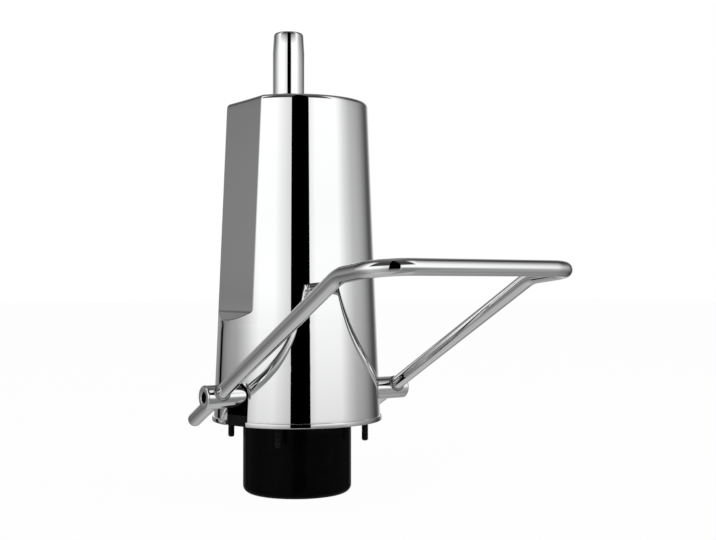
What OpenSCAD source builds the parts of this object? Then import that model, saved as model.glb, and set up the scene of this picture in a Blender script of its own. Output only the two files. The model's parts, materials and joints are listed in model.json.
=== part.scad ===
// Hydraulic pump of a barber chair: pedal, axle, cam pump, reservoir, cylinder, ram and shroud.
// Origin: on the reservoir axis, at the underside of the flange. +Z is up, the pedal reaches towards -Y
// and its axle lies along X. Lengths are millimetres and angles are degrees.

/* [Reservoir] */
// Outside diameter of the reservoir can
can_d = 95; // [92:0.5:100]
// Height of the can below the flange
can_h = 63; // [60:0.5:75]
// Wall of the can
can_wall = 2; // [1.5:0.1:2.5]
// Outside radius of the can's bottom edge
can_corner_r = 6.5; // [4:0.5:10]
// Diameter of the recess in the can's bottom
recess_d = 38; // [34:1:44]
// Depth of the recess in the can's bottom
recess_h = 9; // [8.5:0.5:12]
// Thickness of the gasket under the flange
gasket_t = 1.5; // [1:0.1:2]

/* [Flange and casting] */
// Thickness of the flange
flange_t = 9; // [8:0.5:12]
// Spacing of the fixing bolts, both ways
bolt_spacing = 86; // [84:0.5:88]
// Diameter of a fixing bolt
bolt_d = 6; // [5:0.5:6.5]
// Length of a fixing bolt below the flange
bolt_reach = 17; // [12:1:25]
// Wall of the casting around the cylinder tube
seat_wall = 5; // [4:0.5:6]
// Wall of the casting around the plunger's spring well
well_wall = 3.5; // [3:0.5:4.5]
// Wall of the casting around the release valve
valve_wall = 2.5; // [2:0.5:3.5]
// Height of the cast collar around the cylinder tube above the flange
collar_h = 21; // [12:1:28]
// Depth of the casting below the flange's underside
block_h = 50; // [49:0.5:52]

/* [Axle] */
// Distance of the axle in front of the reservoir axis
axle_front = 19.5; // [18.5:0.5:21]
// Height of the axle above the flange's underside
axle_z = 25.5; // [25:0.5:30]
// Outside diameter of the axle tube
axle_d = 20; // [18:0.5:20.5]
// Bore of the axle tube
axle_bore_d = 9; // [6:0.5:11]
// Length of the axle tube
axle_len = 200; // [194:1:220]
// Distance from the middle to the inner face of a bearing pillar
pillar_in = 40; // [39:0.5:42]
// Width of a bearing pillar along the axle
pillar_w = 16; // [12:0.5:17]
// Wall of a pillar around its bush
pillar_wall = 4; // [3.5:0.5:5]
// Wall of an axle bush
bush_wall = 3; // [2:0.5:3]
// Thickness of a bush's collar
bush_flange_t = 2; // [1.5:0.5:2.5]
// Outside diameter of a shaft collar
collar_d = 32; // [30:0.5:32.5]
// Width of a shaft collar
collar_w = 9; // [8:0.5:9.5]

/* [Pedal] */
// Diameter of the pedal bar
bar_d = 12; // [10:0.5:13]
// Distance from the middle to the centre of a pedal arm
arm_x = 87; // [86:0.5:90]
// Rise of the arms above level
arm_rise = 27.5; // [22:0.5:32]
// Length of an arm from the axle to its bend
arm_len = 214; // [180:1:250]
// Length of a stub beyond the axle
stub_len = 54; // [30:1:58]
// Rise of the pedal's outer end above level
tread_rise = 4.85; // [0:0.05:8]
// Length of the pedal's outer end from the bend to the cross bar
tread_len = 53; // [46:0.2:80]
// Bend radius at the end of an arm
arm_bend_r = 40; // [25:1:60]
// Bend radius at the cross bar
corner_r = 30; // [20:1:35]
// Weld bead radius where the arms cross the axle
weld_r = 2.2; // [1.5:0.1:2.8]
// Angle through which the pedal is pressed
press_angle = 25; // [15:1:25]

/* [Cylinder and ram] */
// Distance of the cylinder behind the reservoir axis
ram_back = 16; // [15.5:0.5:17]
// Diameter of the ram
ram_d = 28.6; // [26.6:0.2:28.8]
// How much slimmer the seat spindle is than the ram
spindle_step = 0.4; // [0.2:0.1:0.8]
// Length of the seat spindle with its taper
spindle_len = 56; // [40:1:58]
// Height of the ram's top above the flange's underside, lowered
ram_top = 343; // [343:1:370]
// Length of the tapered seat end
taper_len = 18; // [12:1:24]
// Diameter at the tip of the taper
taper_d = 26.4; // [24:0.2:26.4]
// Edge radius of the ram's tip
tip_r = 2.6; // [1:0.2:3.4]
// Bore of the cylinder tube
tube_id = 34; // [33.5:0.5:34.5]
// Wall of the cylinder tube
tube_wall = 3; // [2.5:0.5:3]
// Height of the piston
piston_h = 16; // [14:0.5:18]
// Diameter of the ram's spigot in the piston
spigot_d = 18; // [15:0.5:20]
// Depth of the cylinder tube's seat below the flange's underside
seat_depth = 34; // [33:0.5:35]
// Depth of the pressure chamber under the tube
chamber_h = 6; // [5.5:0.5:6]

/* [Gland] */
// Diameter of the gland head's shoulder
gland_d = 50; // [46:1:54]
// Height of the gland head's shoulder
gland_h = 14; // [13:0.5:18]
// Length of the gland's spigot in the tube
gland_spigot_h = 26; // [20:1:32]
// Diameter of the gland's threaded neck
neck_d = 40; // [39:0.5:42]
// Height of the ring nut over the shroud
ring_nut_h = 4.5; // [4:0.25:6]
// Diameter of the ring nut
ring_nut_d = 52; // [48:1:56]

/* [Shroud] */
// Height of the shroud
shroud_h = 277.5; // [270:0.5:285]
// Diameter of the shroud at the bottom
shroud_bottom_d = 146; // [145:0.5:150]
// Diameter of the shroud at the top, measured along its straight side
shroud_top_d = 124; // [118:1:130]
// Wall of the shroud
shroud_wall = 1.5; // [1.2:0.1:2]
// Radius of the shroud's top edge
shroud_edge_r = 4; // [3:0.5:6]
// Height of the folded rim
rim_h = 5.2; // [4:0.2:6]
// How far the folded rim stands out
rim_out = 1.7; // [1:0.1:2]
// Width of the rim's broken edges
rim_edge = 1; // [0.5:0.1:1.4]
// Width of the pressed flats
flat_w = 64; // [56:1:68]
// Height at which the flats end in their ledge
flat_z = 95.5; // [85:0.5:120]
// Slope of the ledge below a flat
ledge_slope = 43; // [35:1:50]
// Width of the axle slots
slot_w = 24; // [23:0.5:26]

/* [Pump] */
// Diameter of the plunger
plunger_d = 12; // [10:0.5:12.5]
// Plunger travel per radian of the axle
cam_rate = 11; // [8:0.5:11.5]
// Diameter of the cam's hub
cam_hub_d = 28.6; // [27:0.2:29]
// Width of the cam's hub
cam_hub_w = 18; // [16:1:20]
// Width of the cam's lobe and of the roller
cam_w = 8; // [6:0.5:9]
// Diameter of the follower roller
roller_d = 10; // [9:0.5:10.5]
// Diameter of the roller's pin
roller_pin_d = 4; // [3:0.5:4.5]
// Diameter of the plunger's spring well
well_d = 25; // [24:0.5:26]
// Depth of the spring well below the flange's underside
well_h = 19; // [18:0.5:19.5]
// Diameter of a valve ball
ball_d = 6; // [5.5:0.1:6.2]
// Lift of a valve ball
ball_lift = 1.2; // [0.8:0.1:1.3]

/* [Release valve] */
// Distance of the release rod to the right of the middle
release_x = 21.5; // [21:0.25:22.5]
// Distance of the release rod behind the axle
release_reach = 15; // [14:0.5:15.5]
// Diameter of the release rod
release_d = 6; // [5:0.5:6]

/* [Clearances] */
// Running clearance of a shaft or piston, per side
fit_run = 0.05; // [0.03:0.01:0.08]
// Clearance of a seated or pressed piece, per side
fit_seat = 0.03; // [0.02:0.01:0.05]
// Space between moving pieces that only come near
air = 0.3; // [0.3:0.05:0.5]
// Clearance of a bolt in its hole, per side
fit_bolt = 0.2; // [0.1:0.05:0.3]

/* [Hidden] */
$fn = 64;

BLACK = [0.05, 0.05, 0.055];
IRON = [0.16, 0.16, 0.17];
CHROME = [0.82, 0.83, 0.85];
STEEL = [0.6, 0.61, 0.63];
BRONZE = [0.62, 0.44, 0.24];
RUBBER = [0.09, 0.09, 0.09];

cut = 1;
axle_y = -axle_front;
axle_r = axle_d / 2;
bar_r = bar_d / 2;
lap_step = 0.03;
ram_r = ram_d / 2;
tube_r = tube_id / 2;
tube_out_r = tube_r + tube_wall;
bolt_at = bolt_spacing / 2;
can_in_r = can_d / 2 - can_wall;

// Levels of the shroud and the gland
plate_z = shroud_h - shroud_wall;
tube_top = plate_z - gland_h;
neck_top = shroud_h + ring_nut_h;
shroud_r0 = shroud_bottom_d / 2;
shroud_slope = (shroud_bottom_d - shroud_top_d) / 2 / shroud_h;
function shroud_r(z) = shroud_r0 - shroud_slope * z;

// Levels of the ram and the piston
piston_z = -seat_depth + 4;
piston_top = piston_z + piston_h;
washer_t = 2;
nut_h = 6.5;
swivel_gap = 0.2;
shoulder_z = piston_top + washer_t + swivel_gap;
taper_z = ram_top - taper_len;
spindle_z = ram_top - spindle_len;
spindle_r = (ram_d - spindle_step) / 2;

// Levels of the cam, the roller and the plunger
roller_r = roller_d / 2;
cam_hub_r = cam_hub_d / 2;
reach_0 = cam_hub_r + roller_r + air;
cam_end = press_angle + 7;
press_rad = press_angle * PI / 180;
plunger_stroke = cam_rate * press_rad;
roller_z = axle_z - reach_0;
disc_t = 3;
disc_z = roller_z - roller_r - 1 - disc_t;
disc_r = 11;
ear_t = 3;
ear_in = cam_w / 2 + 0.5;
plunger_end = -plunger_stroke - 30;
plunger_z = plunger_end + plunger_stroke;
barrel_r = plunger_d / 2 + 7;

// Levels of the valves
ball_r = ball_d / 2;
seat_hole_r = 2;
ball_sit = sqrt(pow(ball_r, 2) - pow(seat_hole_r, 2));
barrel_floor = plunger_end - 0.7;
neck_h = 1.3;
barrel_port_r = 2.5;
ball_gap = 0.05;
ball_stop_z = barrel_floor - neck_h;
suction_ball_z = ball_stop_z - ball_lift - air - ball_r;
suction_seat_z = suction_ball_z - ball_sit;
seat_plug_h = 3.5;
seat_plug_r = 7;
barrel_h = -suction_seat_z + seat_plug_h;
cross_z = -seat_depth - 4.5;
discharge_seat_y = axle_y + 7.5;
discharge_ball_y = discharge_seat_y + ball_sit;
discharge_stop_y = ram_back - 15.6;
stop_len = 2.5;
chamber_r = 15;
nut_af = 24;
ball_way_r = ball_r + 0.6;
cross_plug_r = 4.5;

// Release valve
release_y = axle_y + release_reach;
release_r = release_d / 2;
release_chamber_r = release_r + 3;
release_chamber_top = -4;
release_seat_z = -30;
release_seat_h = 6;
release_collar_z = -18;
release_collar_h = 2;
fork_w = 13;
fork_slot_w = release_d + 1;
fork_r = 4;
fork_room = 2.5;
fork_top_at_press = axle_z + release_reach * sin(press_angle) + fork_r;
release_head_z = fork_top_at_press + air;
hub_r = 13.5;
fork_neck_r = release_reach - release_r - 2 * air;

// Spigot and drain bolt of the can
spigot_gap = 0.25;
spigot_r = can_in_r - spigot_gap;
spigot_h = 5;
drain_thread_h = 6.5;
drain_d = 8;
drain_af = 13;
drain_head_h = 4.5;
drain_washer_r = 9;
drain_washer_t = 1.5;
thread_end = 0.5;
drain_head_z = -can_h + recess_h - drain_washer_t;

// Filler, bolts and plunger seal
filler_x = -35;
filler_y = 12;
filler_r = 6;
filler_af = 14;
filler_head_h = 5.5;
bolt_af = 10;
bolt_head_h = 4;
bolt_tip = 1;
thread_r = bolt_d / 2 - 0.2;
shank_reach = 0.4;
spring_washer_w = 2.4;
plunger_seal_r = plunger_d / 2 + 2.6;
plunger_seal_h = 4;
spring_washer_t = 1.6;
bolt_head_z = flange_t + spring_washer_t;

// Grooves and seals of the gland
ring_groove_r = tube_r - 2.4;
o_ring_z = tube_top - 13;
o_ring_groove_h = 3;
rod_seal_r = ram_r + 4.2;
rod_seal_z = tube_top + 3.5;
rod_seal_h = 5;
wiper_r = ram_r + 3.2;
wiper_z = shroud_h + 0.5;

// Grooves of the piston
piston_r = tube_r - air;
band_groove_r = piston_r - 2.2;
seal_z = piston_z + 2.5;
seal_h = 4;
band_z = piston_z + piston_h - 6;
band_h = 3.5;

// Pins and screws on the axle
cam_pin_r = 2.5;
fork_pin_r = 2;
fork_x = release_x;
pin_lean = 20;
collar_out = pillar_in - bush_flange_t - air;
screw_r = 2.5;

// A straight tube standing at z
module tube(ro, ri, z0, z1) {
    translate([0, 0, z0]) difference() {
        cylinder(r = ro, h = z1 - z0);
        translate([0, 0, -cut]) cylinder(r = ri, h = z1 - z0 + 2 * cut);
    }
}

// A cylinder between two heights
module post(r, z0, z1) {
    translate([0, 0, z0]) cylinder(r = r, h = z1 - z0);
}

// A cylinder along X between two places, on the axle's line
module axle_rod(r, x0, x1) {
    translate([x0, axle_y, axle_z]) rotate([0, 90, 0]) cylinder(r = r, h = x1 - x0);
}

// A cylinder along Y between two places
module rod_y(r, y0, y1, x, z) {
    translate([x, y0, z]) rotate([-90, 0, 0]) cylinder(r = r, h = y1 - y0);
}

// A hexagon across flats
module hex(af, z0, z1) {
    translate([0, 0, z0]) cylinder(d = af / cos(30), h = z1 - z0, $fn = 6);
}

// The four bolt places
module at_bolts() {
    for (x = [-1, 1], y = [-1, 1]) translate([x * bolt_at, y * bolt_at, 0]) children();
}

module at_ram() {
    translate([0, ram_back, 0]) children();
}

module at_barrel() {
    translate([0, axle_y, 0]) children();
}

module at_release() {
    translate([release_x, release_y, 0]) children();
}

// Both sides of the middle plane
module both_sides() {
    children();
    mirror([1, 0, 0]) children();
}

// A round helix spring standing at z0, made as one swept tube
module helix(r, wire_r, z0, z1, turns, steps = 20, sides = 8) {
    n = turns * steps;
    rise = (z1 - z0 - 2 * wire_r) / turns;
    function at(i) = let (a = 360 * i / steps) [r * cos(a), r * sin(a), z0 + wire_r + rise * i / steps];
    points = [for (i = [0:n], k = [0:sides - 1])
        let (a = 360 * i / steps, b = 360 * k / sides)
        at(i) + wire_r * [cos(b) * cos(a), cos(b) * sin(a), sin(b)]];
    start = [for (k = [0:sides - 1]) k];
    end = [for (k = [sides - 1:-1:0]) n * sides + k];
    walls = [for (i = [0:n - 1], k = [0:sides - 1])
        let (a = i * sides + k, b = i * sides + (k + 1) % sides) each
        [[a, a + sides, b + sides], [a, b + sides, b]]];
    polyhedron(points = points, faces = concat([start], [end], walls), convexity = 8);
}

// Half section of a can with a rounded bottom edge, for turning
module round_section(r, z0, z1, edge) {
    translate([0, z0]) square([r - edge, z1 - z0]);
    translate([0, z0 + edge]) square([r, z1 - z0 - edge]);
    translate([r - edge, z0 + edge]) circle(r = edge);
}

module reservoir_can() {
    rim_z = -gasket_t;
    color(BLACK) rotate_extrude() difference() {
        intersection() {
            round_section(can_d / 2, -can_h, rim_z, can_corner_r);
            translate([0, -can_h]) square([can_d, can_h]);
        }
        difference() {
            translate([0, can_wall]) intersection() {
                round_section(can_in_r, -can_h, cut, can_corner_r - can_wall);
                translate([0, -can_h]) square([can_d, can_h + 2 * cut]);
            }
            translate([0, -can_h]) square([recess_d / 2 + can_wall, recess_h + can_wall]);
        }
        translate([0, -can_h - cut]) square([recess_d / 2, recess_h + cut]);
        translate([0, -can_h]) square([drain_d / 2 + fit_bolt, can_h]);
    }
}

module can_gasket() {
    color(RUBBER) tube(can_d / 2 - fit_seat, spigot_r + fit_seat, -gasket_t, 0);
}

module drain_bolt() {
    color(STEEL) union() {
        hex(drain_af, drain_head_z - drain_head_h, drain_head_z);
        post(drain_d / 2, drain_head_z - cut, -block_h + drain_thread_h - thread_end);
    }
}

module drain_washer() {
    color(STEEL) tube(drain_washer_r, drain_d / 2 + fit_seat, drain_head_z, drain_head_z + drain_washer_t);
}

// Bearing pillar: an arch around the axle, standing on the flange
module pillar() {
    arch_r = axle_r + fit_run + bush_wall + pillar_wall;
    axle_rod(arch_r, pillar_in, pillar_in + pillar_w);
    translate([pillar_in, axle_y - arch_r, 0]) cube([pillar_w, 2 * arch_r, axle_z]);
}

// Room for the sweep of the cam's lobe, in front of the axle
module cam_relief() {
    sweep_r = norm(cam_face(cam_end)) + 2 * air;
    half = cam_w / 2 + 2 * air;
    intersection() {
        axle_rod(sweep_r, -half, half);
        translate([-half, axle_y - sweep_r, 0]) cube([2 * half, sweep_r, flange_t + sweep_r]);
    }
}

module pump_body() {
    flange_r0 = shroud_r(0) - shroud_wall - air;
    flange_r1 = shroud_r(flange_t) - shroud_wall - air;
    bush_seat_r = axle_r + fit_run + bush_wall + fit_seat;
    seat_r = tube_out_r + fit_seat;
    color(IRON) difference() {
        union() {
            cylinder(r1 = flange_r0, r2 = flange_r1, h = flange_t);
            post(spigot_r, -spigot_h, cut);
            at_ram() post(tube_out_r + seat_wall, -block_h, cut);
            at_barrel() post(well_d / 2 + well_wall, -well_h - well_wall, cut);
            at_barrel() post(barrel_r, -barrel_h, cut);
            translate([-barrel_r, axle_y, -barrel_h]) cube([2 * barrel_r, axle_front + ram_back, barrel_h]);
            at_release() post(release_chamber_r + valve_wall, release_seat_z - release_seat_h, cut);
            both_sides() pillar();
            difference() {
                at_ram() post(tube_out_r + seat_wall, flange_t - cut, flange_t + collar_h);
                axle_rod(release_reach + fork_r + fork_room, -shroud_r0, shroud_r0);
                at_release() post(release_chamber_r, flange_t, flange_t + collar_h + cut);
            }
        }
        axle_rod(bush_seat_r, -shroud_r0, shroud_r0);
        at_ram() post(seat_r, -seat_depth, flange_t + collar_h + cut);
        at_ram() post(chamber_r, -seat_depth - chamber_h, 0);
        at_barrel() post(well_d / 2, -well_h, flange_t + cut);
        cam_relief();
        at_barrel() post(plunger_seal_r + fit_seat, -well_h - plunger_seal_h, 0);
        at_barrel() post(plunger_d / 2 + fit_run, barrel_floor, 0);
        at_barrel() post(barrel_port_r, ball_stop_z - cut, 0);
        at_barrel() post(ball_way_r, suction_seat_z, ball_stop_z);
        at_barrel() post(seat_plug_r + fit_seat, -barrel_h - cut, suction_seat_z);
        rod_y(seat_hole_r, axle_y, 0, 0, cross_z);
        rod_y(ball_way_r, discharge_seat_y, ram_back, 0, cross_z);
        rod_y(cross_plug_r + fit_seat, ram_back, ram_back + tube_out_r + seat_wall + cut, 0, cross_z);
        at_release() post(release_r + fit_run, 0, flange_t + cut);
        at_release() post(release_r + fit_run, release_chamber_top - cut, cut);
        at_release() post(release_chamber_r, release_seat_z, release_chamber_top);
        at_release()
            post(release_chamber_r + fit_seat, release_seat_z - release_seat_h - cut, release_seat_z);
        post(drain_d / 2 + fit_seat, -block_h - cut, -block_h + drain_thread_h);
        at_filler() post(filler_r + fit_seat, -spigot_h - cut, flange_t + cut);
        at_bolts() post(bolt_d / 2 + fit_bolt, -cut, flange_t + cut);
    }
}

module at_filler() {
    translate([filler_x, filler_y, 0]) children();
}

module filler_plug() {
    color(STEEL) at_filler() union() {
        hex(filler_af, flange_t, flange_t + filler_head_h);
        post(filler_r, -spigot_h + cut, flange_t + cut);
    }
}

module flange_bolts() {
    color(BLACK) at_bolts() union() {
        hex(bolt_af, bolt_head_z, bolt_head_z + bolt_head_h);
        post(bolt_d / 2, -shank_reach, bolt_head_z + cut);
        post(thread_r, bolt_tip - bolt_reach, cut - shank_reach);
        translate([0, 0, -bolt_reach]) cylinder(r1 = thread_r - bolt_tip, r2 = thread_r, h = bolt_tip);
    }
}

module spring_washers() {
    color(BLACK) at_bolts()
        tube(bolt_d / 2 + spring_washer_w, bolt_d / 2 + fit_bolt, flange_t, bolt_head_z);
}

module cylinder_tube() {
    color(STEEL) at_ram() tube(tube_out_r, tube_r, -seat_depth, tube_top);
}

module gland_head() {
    color(STEEL) at_ram() difference() {
        union() {
            post(tube_r - fit_seat, tube_top - gland_spigot_h, tube_top);
            post(gland_d / 2, tube_top, plate_z);
            post(neck_d / 2, plate_z - cut, neck_top);
        }
        post(ram_r + fit_run, tube_top - gland_spigot_h - cut, neck_top + cut);
        post(rod_seal_r, rod_seal_z, rod_seal_z + rod_seal_h);
        post(wiper_r, wiper_z, neck_top + cut);
        tube(tube_r + cut, ring_groove_r, o_ring_z - o_ring_groove_h / 2, o_ring_z + o_ring_groove_h / 2);
    }
}

// An O-ring lies in its groove and is flattened by the tube
module gland_o_ring() {
    wire_r = (tube_r - ring_groove_r) / 2;
    color(RUBBER) at_ram() translate([0, 0, o_ring_z]) rotate_extrude()
        translate([ring_groove_r + wire_r, 0]) circle(r = wire_r - fit_seat);
}

module rod_seal() {
    z0 = rod_seal_z + fit_seat;
    color(RUBBER) at_ram() tube(rod_seal_r - fit_seat, ram_r + fit_run, z0, z0 + rod_seal_h - 2 * fit_seat);
}

// The wiper's lip rises around the ram
module wiper_seal() {
    lip_h = 1.5;
    lip_step = 1;
    color(RUBBER) at_ram() difference() {
        union() {
            post(wiper_r - fit_seat, wiper_z, neck_top);
            translate([0, 0, neck_top]) cylinder(r1 = wiper_r - lip_step, r2 = ram_r + lip_step, h = lip_h);
        }
        post(ram_r + fit_run, wiper_z - cut, neck_top + lip_h + cut);
    }
}

module ring_nut() {
    bevel = 1;
    slot_t = 4;
    slot_deep = 3;
    color(CHROME) at_ram() difference() {
        union() {
            post(ring_nut_d / 2, shroud_h, neck_top - bevel);
            translate([0, 0, neck_top - bevel])
                cylinder(r1 = ring_nut_d / 2, r2 = ring_nut_d / 2 - bevel, h = bevel);
        }
        post(neck_d / 2 + fit_seat, shroud_h - cut, neck_top + cut);
        for (a = [0:90:270]) rotate([0, 0, a + 45])
            translate([ring_nut_d / 2 - slot_deep, -slot_t / 2, shroud_h])
                cube([2 * slot_deep, slot_t, ring_nut_h + cut]);
    }
}

// Half section of the shroud's outside, or of its inside when it is set in by the wall. The round of the
// top edge stands out by a hair, so that it crosses the side and the top instead of only touching them.
module shroud_section(inset) {
    edge = shroud_edge_r - inset;
    top = shroud_h - inset;
    lean = sqrt(1 + pow(shroud_slope, 2));
    edge_z = top - edge;
    edge_x = shroud_r(edge_z) - inset - edge * lean;
    touch_z = edge_z + edge * shroud_slope / lean;
    foot = inset > 0 ? -cut : 0;
    polygon([[0, foot], [shroud_r(foot) - inset, foot], [shroud_r(touch_z) - inset, touch_z],
        [edge_x, edge_z], [edge_x, top], [0, top]]);
    translate([edge_x, edge_z]) circle(r = edge + lap_step);
}

// The side cut away by one pressed flat and the ledge below it
module flat_cut(inset) {
    x_low = sqrt(pow(shroud_r(flat_z), 2) - pow(flat_w / 2, 2));
    x_top = sqrt(pow(shroud_r(shroud_h), 2) - pow(flat_w / 2, 2));
    per_z = (x_top - x_low) / (shroud_h - flat_z);
    z_low = flat_z - inset * (1 - sin(ledge_slope)) / cos(ledge_slope);
    far = 2 * shroud_r0;
    x_at = x_low - inset;
    translate([0, shroud_r0, 0]) rotate([90, 0, 0]) linear_extrude(height = 2 * shroud_r0) polygon([
        [x_at, z_low],
        [far, z_low - (far - x_at) * tan(ledge_slope)],
        [far, shroud_h + cut],
        [x_at + (shroud_h + cut - z_low) * per_z, shroud_h + cut]]);
}

// Half section of the folded rim, a band with broken edges
module rim_section() {
    band_x = shroud_r(rim_h / 2) + rim_out;
    polygon([[0, 0], [band_x - rim_edge, 0], [band_x, rim_edge], [band_x, rim_h - rim_edge],
        [band_x - rim_edge, rim_h], [0, rim_h]]);
}

module shroud() {
    color(CHROME) difference() {
        union() {
            difference() {
                rotate_extrude($fn = 128) shroud_section(0);
                both_sides() flat_cut(0);
            }
            rotate_extrude($fn = 128) rim_section();
        }
        difference() {
            rotate_extrude($fn = 128) shroud_section(shroud_wall);
            both_sides() flat_cut(shroud_wall);
        }
        at_ram() post(neck_d / 2 + air, plate_z - cut, shroud_h + cut);
        axle_rod(slot_w / 2, -2 * shroud_r0, 2 * shroud_r0);
        translate([-2 * shroud_r0, axle_y - slot_w / 2, -cut]) cube([4 * shroud_r0, slot_w, axle_z + cut]);
    }
}

module axle_bushes() {
    bush_r = axle_r + fit_run + bush_wall;
    bush_rim = 3;
    color(BRONZE) both_sides() difference() {
        union() {
            axle_rod(bush_r, pillar_in, pillar_in + pillar_w);
            axle_rod(bush_r + bush_rim, pillar_in - bush_flange_t, pillar_in);
        }
        axle_rod(axle_r + fit_run, pillar_in - bush_flange_t - cut, pillar_in + pillar_w + cut);
    }
}

module suction_seat() {
    slot_t = 2;
    slot_deep = 1.5;
    color(BRONZE) at_barrel() difference() {
        post(seat_plug_r, -barrel_h, suction_seat_z);
        post(seat_hole_r, -barrel_h - cut, suction_seat_z + cut);
        translate([-seat_plug_r, -slot_t / 2, -barrel_h - cut])
            cube([2 * seat_plug_r, slot_t, slot_deep + cut]);
    }
}

module strainer() {
    rows = 2;
    pitch = 2.2;
    hole_r = 0.6;
    sheet_t = 0.8;
    color(STEEL) at_barrel() difference() {
        post(seat_plug_r - hole_r, -barrel_h - sheet_t, -barrel_h);
        for (k = [1:rows], i = [0:4 * k - 1]) rotate([0, 0, 360 * i / (4 * k)])
            translate([pitch * k, 0, 0]) post(hole_r, -barrel_h - sheet_t - cut, -barrel_h + cut);
        post(hole_r, -barrel_h - sheet_t - cut, -barrel_h + cut);
    }
}

module suction_ball() {
    color(STEEL) at_barrel() translate([0, 0, suction_ball_z + ball_gap]) sphere(r = ball_r);
}

module discharge_ball() {
    color(STEEL) translate([0, discharge_ball_y + ball_gap, cross_z]) sphere(r = ball_r);
}

module discharge_spring() {
    coil_r = 2;
    wire_r = 0.35;
    turns = 3;
    y0 = discharge_ball_y + ball_r + 2 * ball_gap;
    color(STEEL) translate([0, 0, cross_z]) rotate([-90, 0, 0])
        helix(coil_r, wire_r, y0, discharge_stop_y - stop_len - ball_gap, turns);
}

module discharge_stop() {
    hole_r = 1.2;
    color(BRONZE) difference() {
        rod_y(ball_way_r - fit_seat, discharge_stop_y - stop_len, discharge_stop_y, 0, cross_z);
        rod_y(hole_r, discharge_stop_y - stop_len - cut, discharge_stop_y + cut, 0, cross_z);
    }
}

module discharge_plug() {
    wall_y = ram_back + tube_out_r + seat_wall;
    key_af = 4;
    color(STEEL) difference() {
        rod_y(cross_plug_r, ram_back + chamber_r + 2 * cut, wall_y - thread_end, 0, cross_z);
        translate([0, 0, cross_z]) rotate([-90, 0, 0]) hex(key_af, wall_y - key_af, wall_y + cut);
    }
}

module release_seat() {
    hole_r = 1.8;
    color(BRONZE) at_release() difference() {
        post(release_chamber_r, release_seat_z - release_seat_h, release_seat_z);
        post(hole_r, release_seat_z - release_seat_h - cut, release_seat_z + cut);
    }
}

module release_rod() {
    head_h = 3;
    tip_h = 4;
    tip_r = 1.4;
    head_rim = 3;
    tip_z = release_seat_z + 4 * ball_gap;
    color(STEEL) at_release() union() {
        post(release_r, tip_z + tip_h, release_head_z + cut);
        post(release_r + head_rim, release_head_z, release_head_z + head_h);
        post(release_chamber_r - air, release_collar_z, release_collar_z + release_collar_h);
        translate([0, 0, tip_z]) cylinder(r1 = tip_r, r2 = release_r, h = tip_h);
    }
}

module release_spring() {
    coil_r = release_r + 1.4;
    wire_r = 0.6;
    turns = 5;
    z0 = release_collar_z + release_collar_h + ball_gap;
    color(STEEL) at_release() helix(coil_r, wire_r, z0, release_chamber_top - ball_gap, turns);
}

module plunger_seal() {
    color(RUBBER) at_barrel()
        tube(plunger_seal_r, plunger_d / 2 + fit_run, -well_h - plunger_seal_h, -well_h - fit_seat);
}

// The plunger's head is a fork that holds the roller over a spring disc
module plunger() {
    ear_w = 2 * (roller_r - 1);
    color(STEEL) at_barrel() difference() {
        union() {
            post(plunger_d / 2, plunger_z, disc_z + cut);
            post(disc_r, disc_z, disc_z + disc_t);
            both_sides() translate([ear_in, 0, 0]) {
                translate([0, -ear_w / 2, disc_z]) cube([ear_t, ear_w, roller_z - disc_z]);
                translate([0, 0, roller_z]) rotate([0, 90, 0]) cylinder(d = ear_w, h = ear_t);
            }
        }
        translate([-disc_r, 0, roller_z]) rotate([0, 90, 0])
            cylinder(d = roller_pin_d + 2 * fit_seat, h = 2 * disc_r);
    }
}

module roller_pin() {
    half = ear_in + ear_t;
    color(STEEL) translate([-half, axle_y, roller_z]) rotate([0, 90, 0])
        cylinder(d = roller_pin_d, h = 2 * half);
}

module follower_roller() {
    color(STEEL) translate([-cam_w / 2, axle_y, roller_z]) rotate([0, 90, 0]) difference() {
        cylinder(r = roller_r, h = cam_w);
        translate([0, 0, -cut]) cylinder(d = roller_pin_d + 2 * fit_run, h = cam_w + 2 * cut);
    }
}

module plunger_spring() {
    coil_r = plunger_d / 2 + 2.6;
    wire_r = 0.9;
    turns = 4;
    color(STEEL) at_barrel() helix(coil_r, wire_r, -well_h + ball_gap, disc_z - ball_gap, turns);
}

module arm_axis(x) {
    translate([x, axle_y, axle_z]) rotate([90 - arm_rise, 0, 0]) children();
}

module axle_tube() {
    chamfer = 1;
    half = axle_len / 2;
    color(CHROME) difference() {
        union() {
            axle_rod(axle_r, -half + chamfer, half - chamfer);
            both_sides() translate([half - chamfer, axle_y, axle_z]) rotate([0, 90, 0])
                cylinder(r1 = axle_r, r2 = axle_r - chamfer, h = chamfer);
        }
        axle_rod(axle_bore_d / 2, -half - cut, half + cut);
        both_sides() arm_axis(arm_x) translate([0, 0, -axle_d])
            cylinder(r = bar_r + fit_seat, h = 2 * axle_d);
        pin_hole(cam_pin_r, 0);
        pin_hole(fork_pin_r, fork_x);
    }
}

// A cross pin through the axle, leaning back from the vertical
module leaning_pin(r, half, x) {
    translate([x, axle_y, axle_z]) rotate([pin_lean, 0, 0]) cylinder(r = r, h = 2 * half, center = true);
}

module pin_hole(r, x) {
    leaning_pin(r + fit_seat, 2 * axle_r, x);
}

// A bend from the +Z direction towards -X. It is a hair thinner than the bar and runs a little way into
// the straight pieces that it joins, so that these close it with a clean edge.
module bend(radius, turn) {
    lap = 180 / PI / radius;
    translate([-radius, 0, 0]) rotate([90, 0, 0]) rotate([0, 0, -lap])
        rotate_extrude(angle = turn + 2 * lap) translate([radius, 0]) circle(r = bar_r - lap_step);
}

// The plane of the pedal's outer end, from where the arms bend
module at_tread() {
    arm_axis(0) translate([0, 0, arm_len]) rotate([arm_rise - tread_rise, 0, 0]) children();
}

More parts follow.
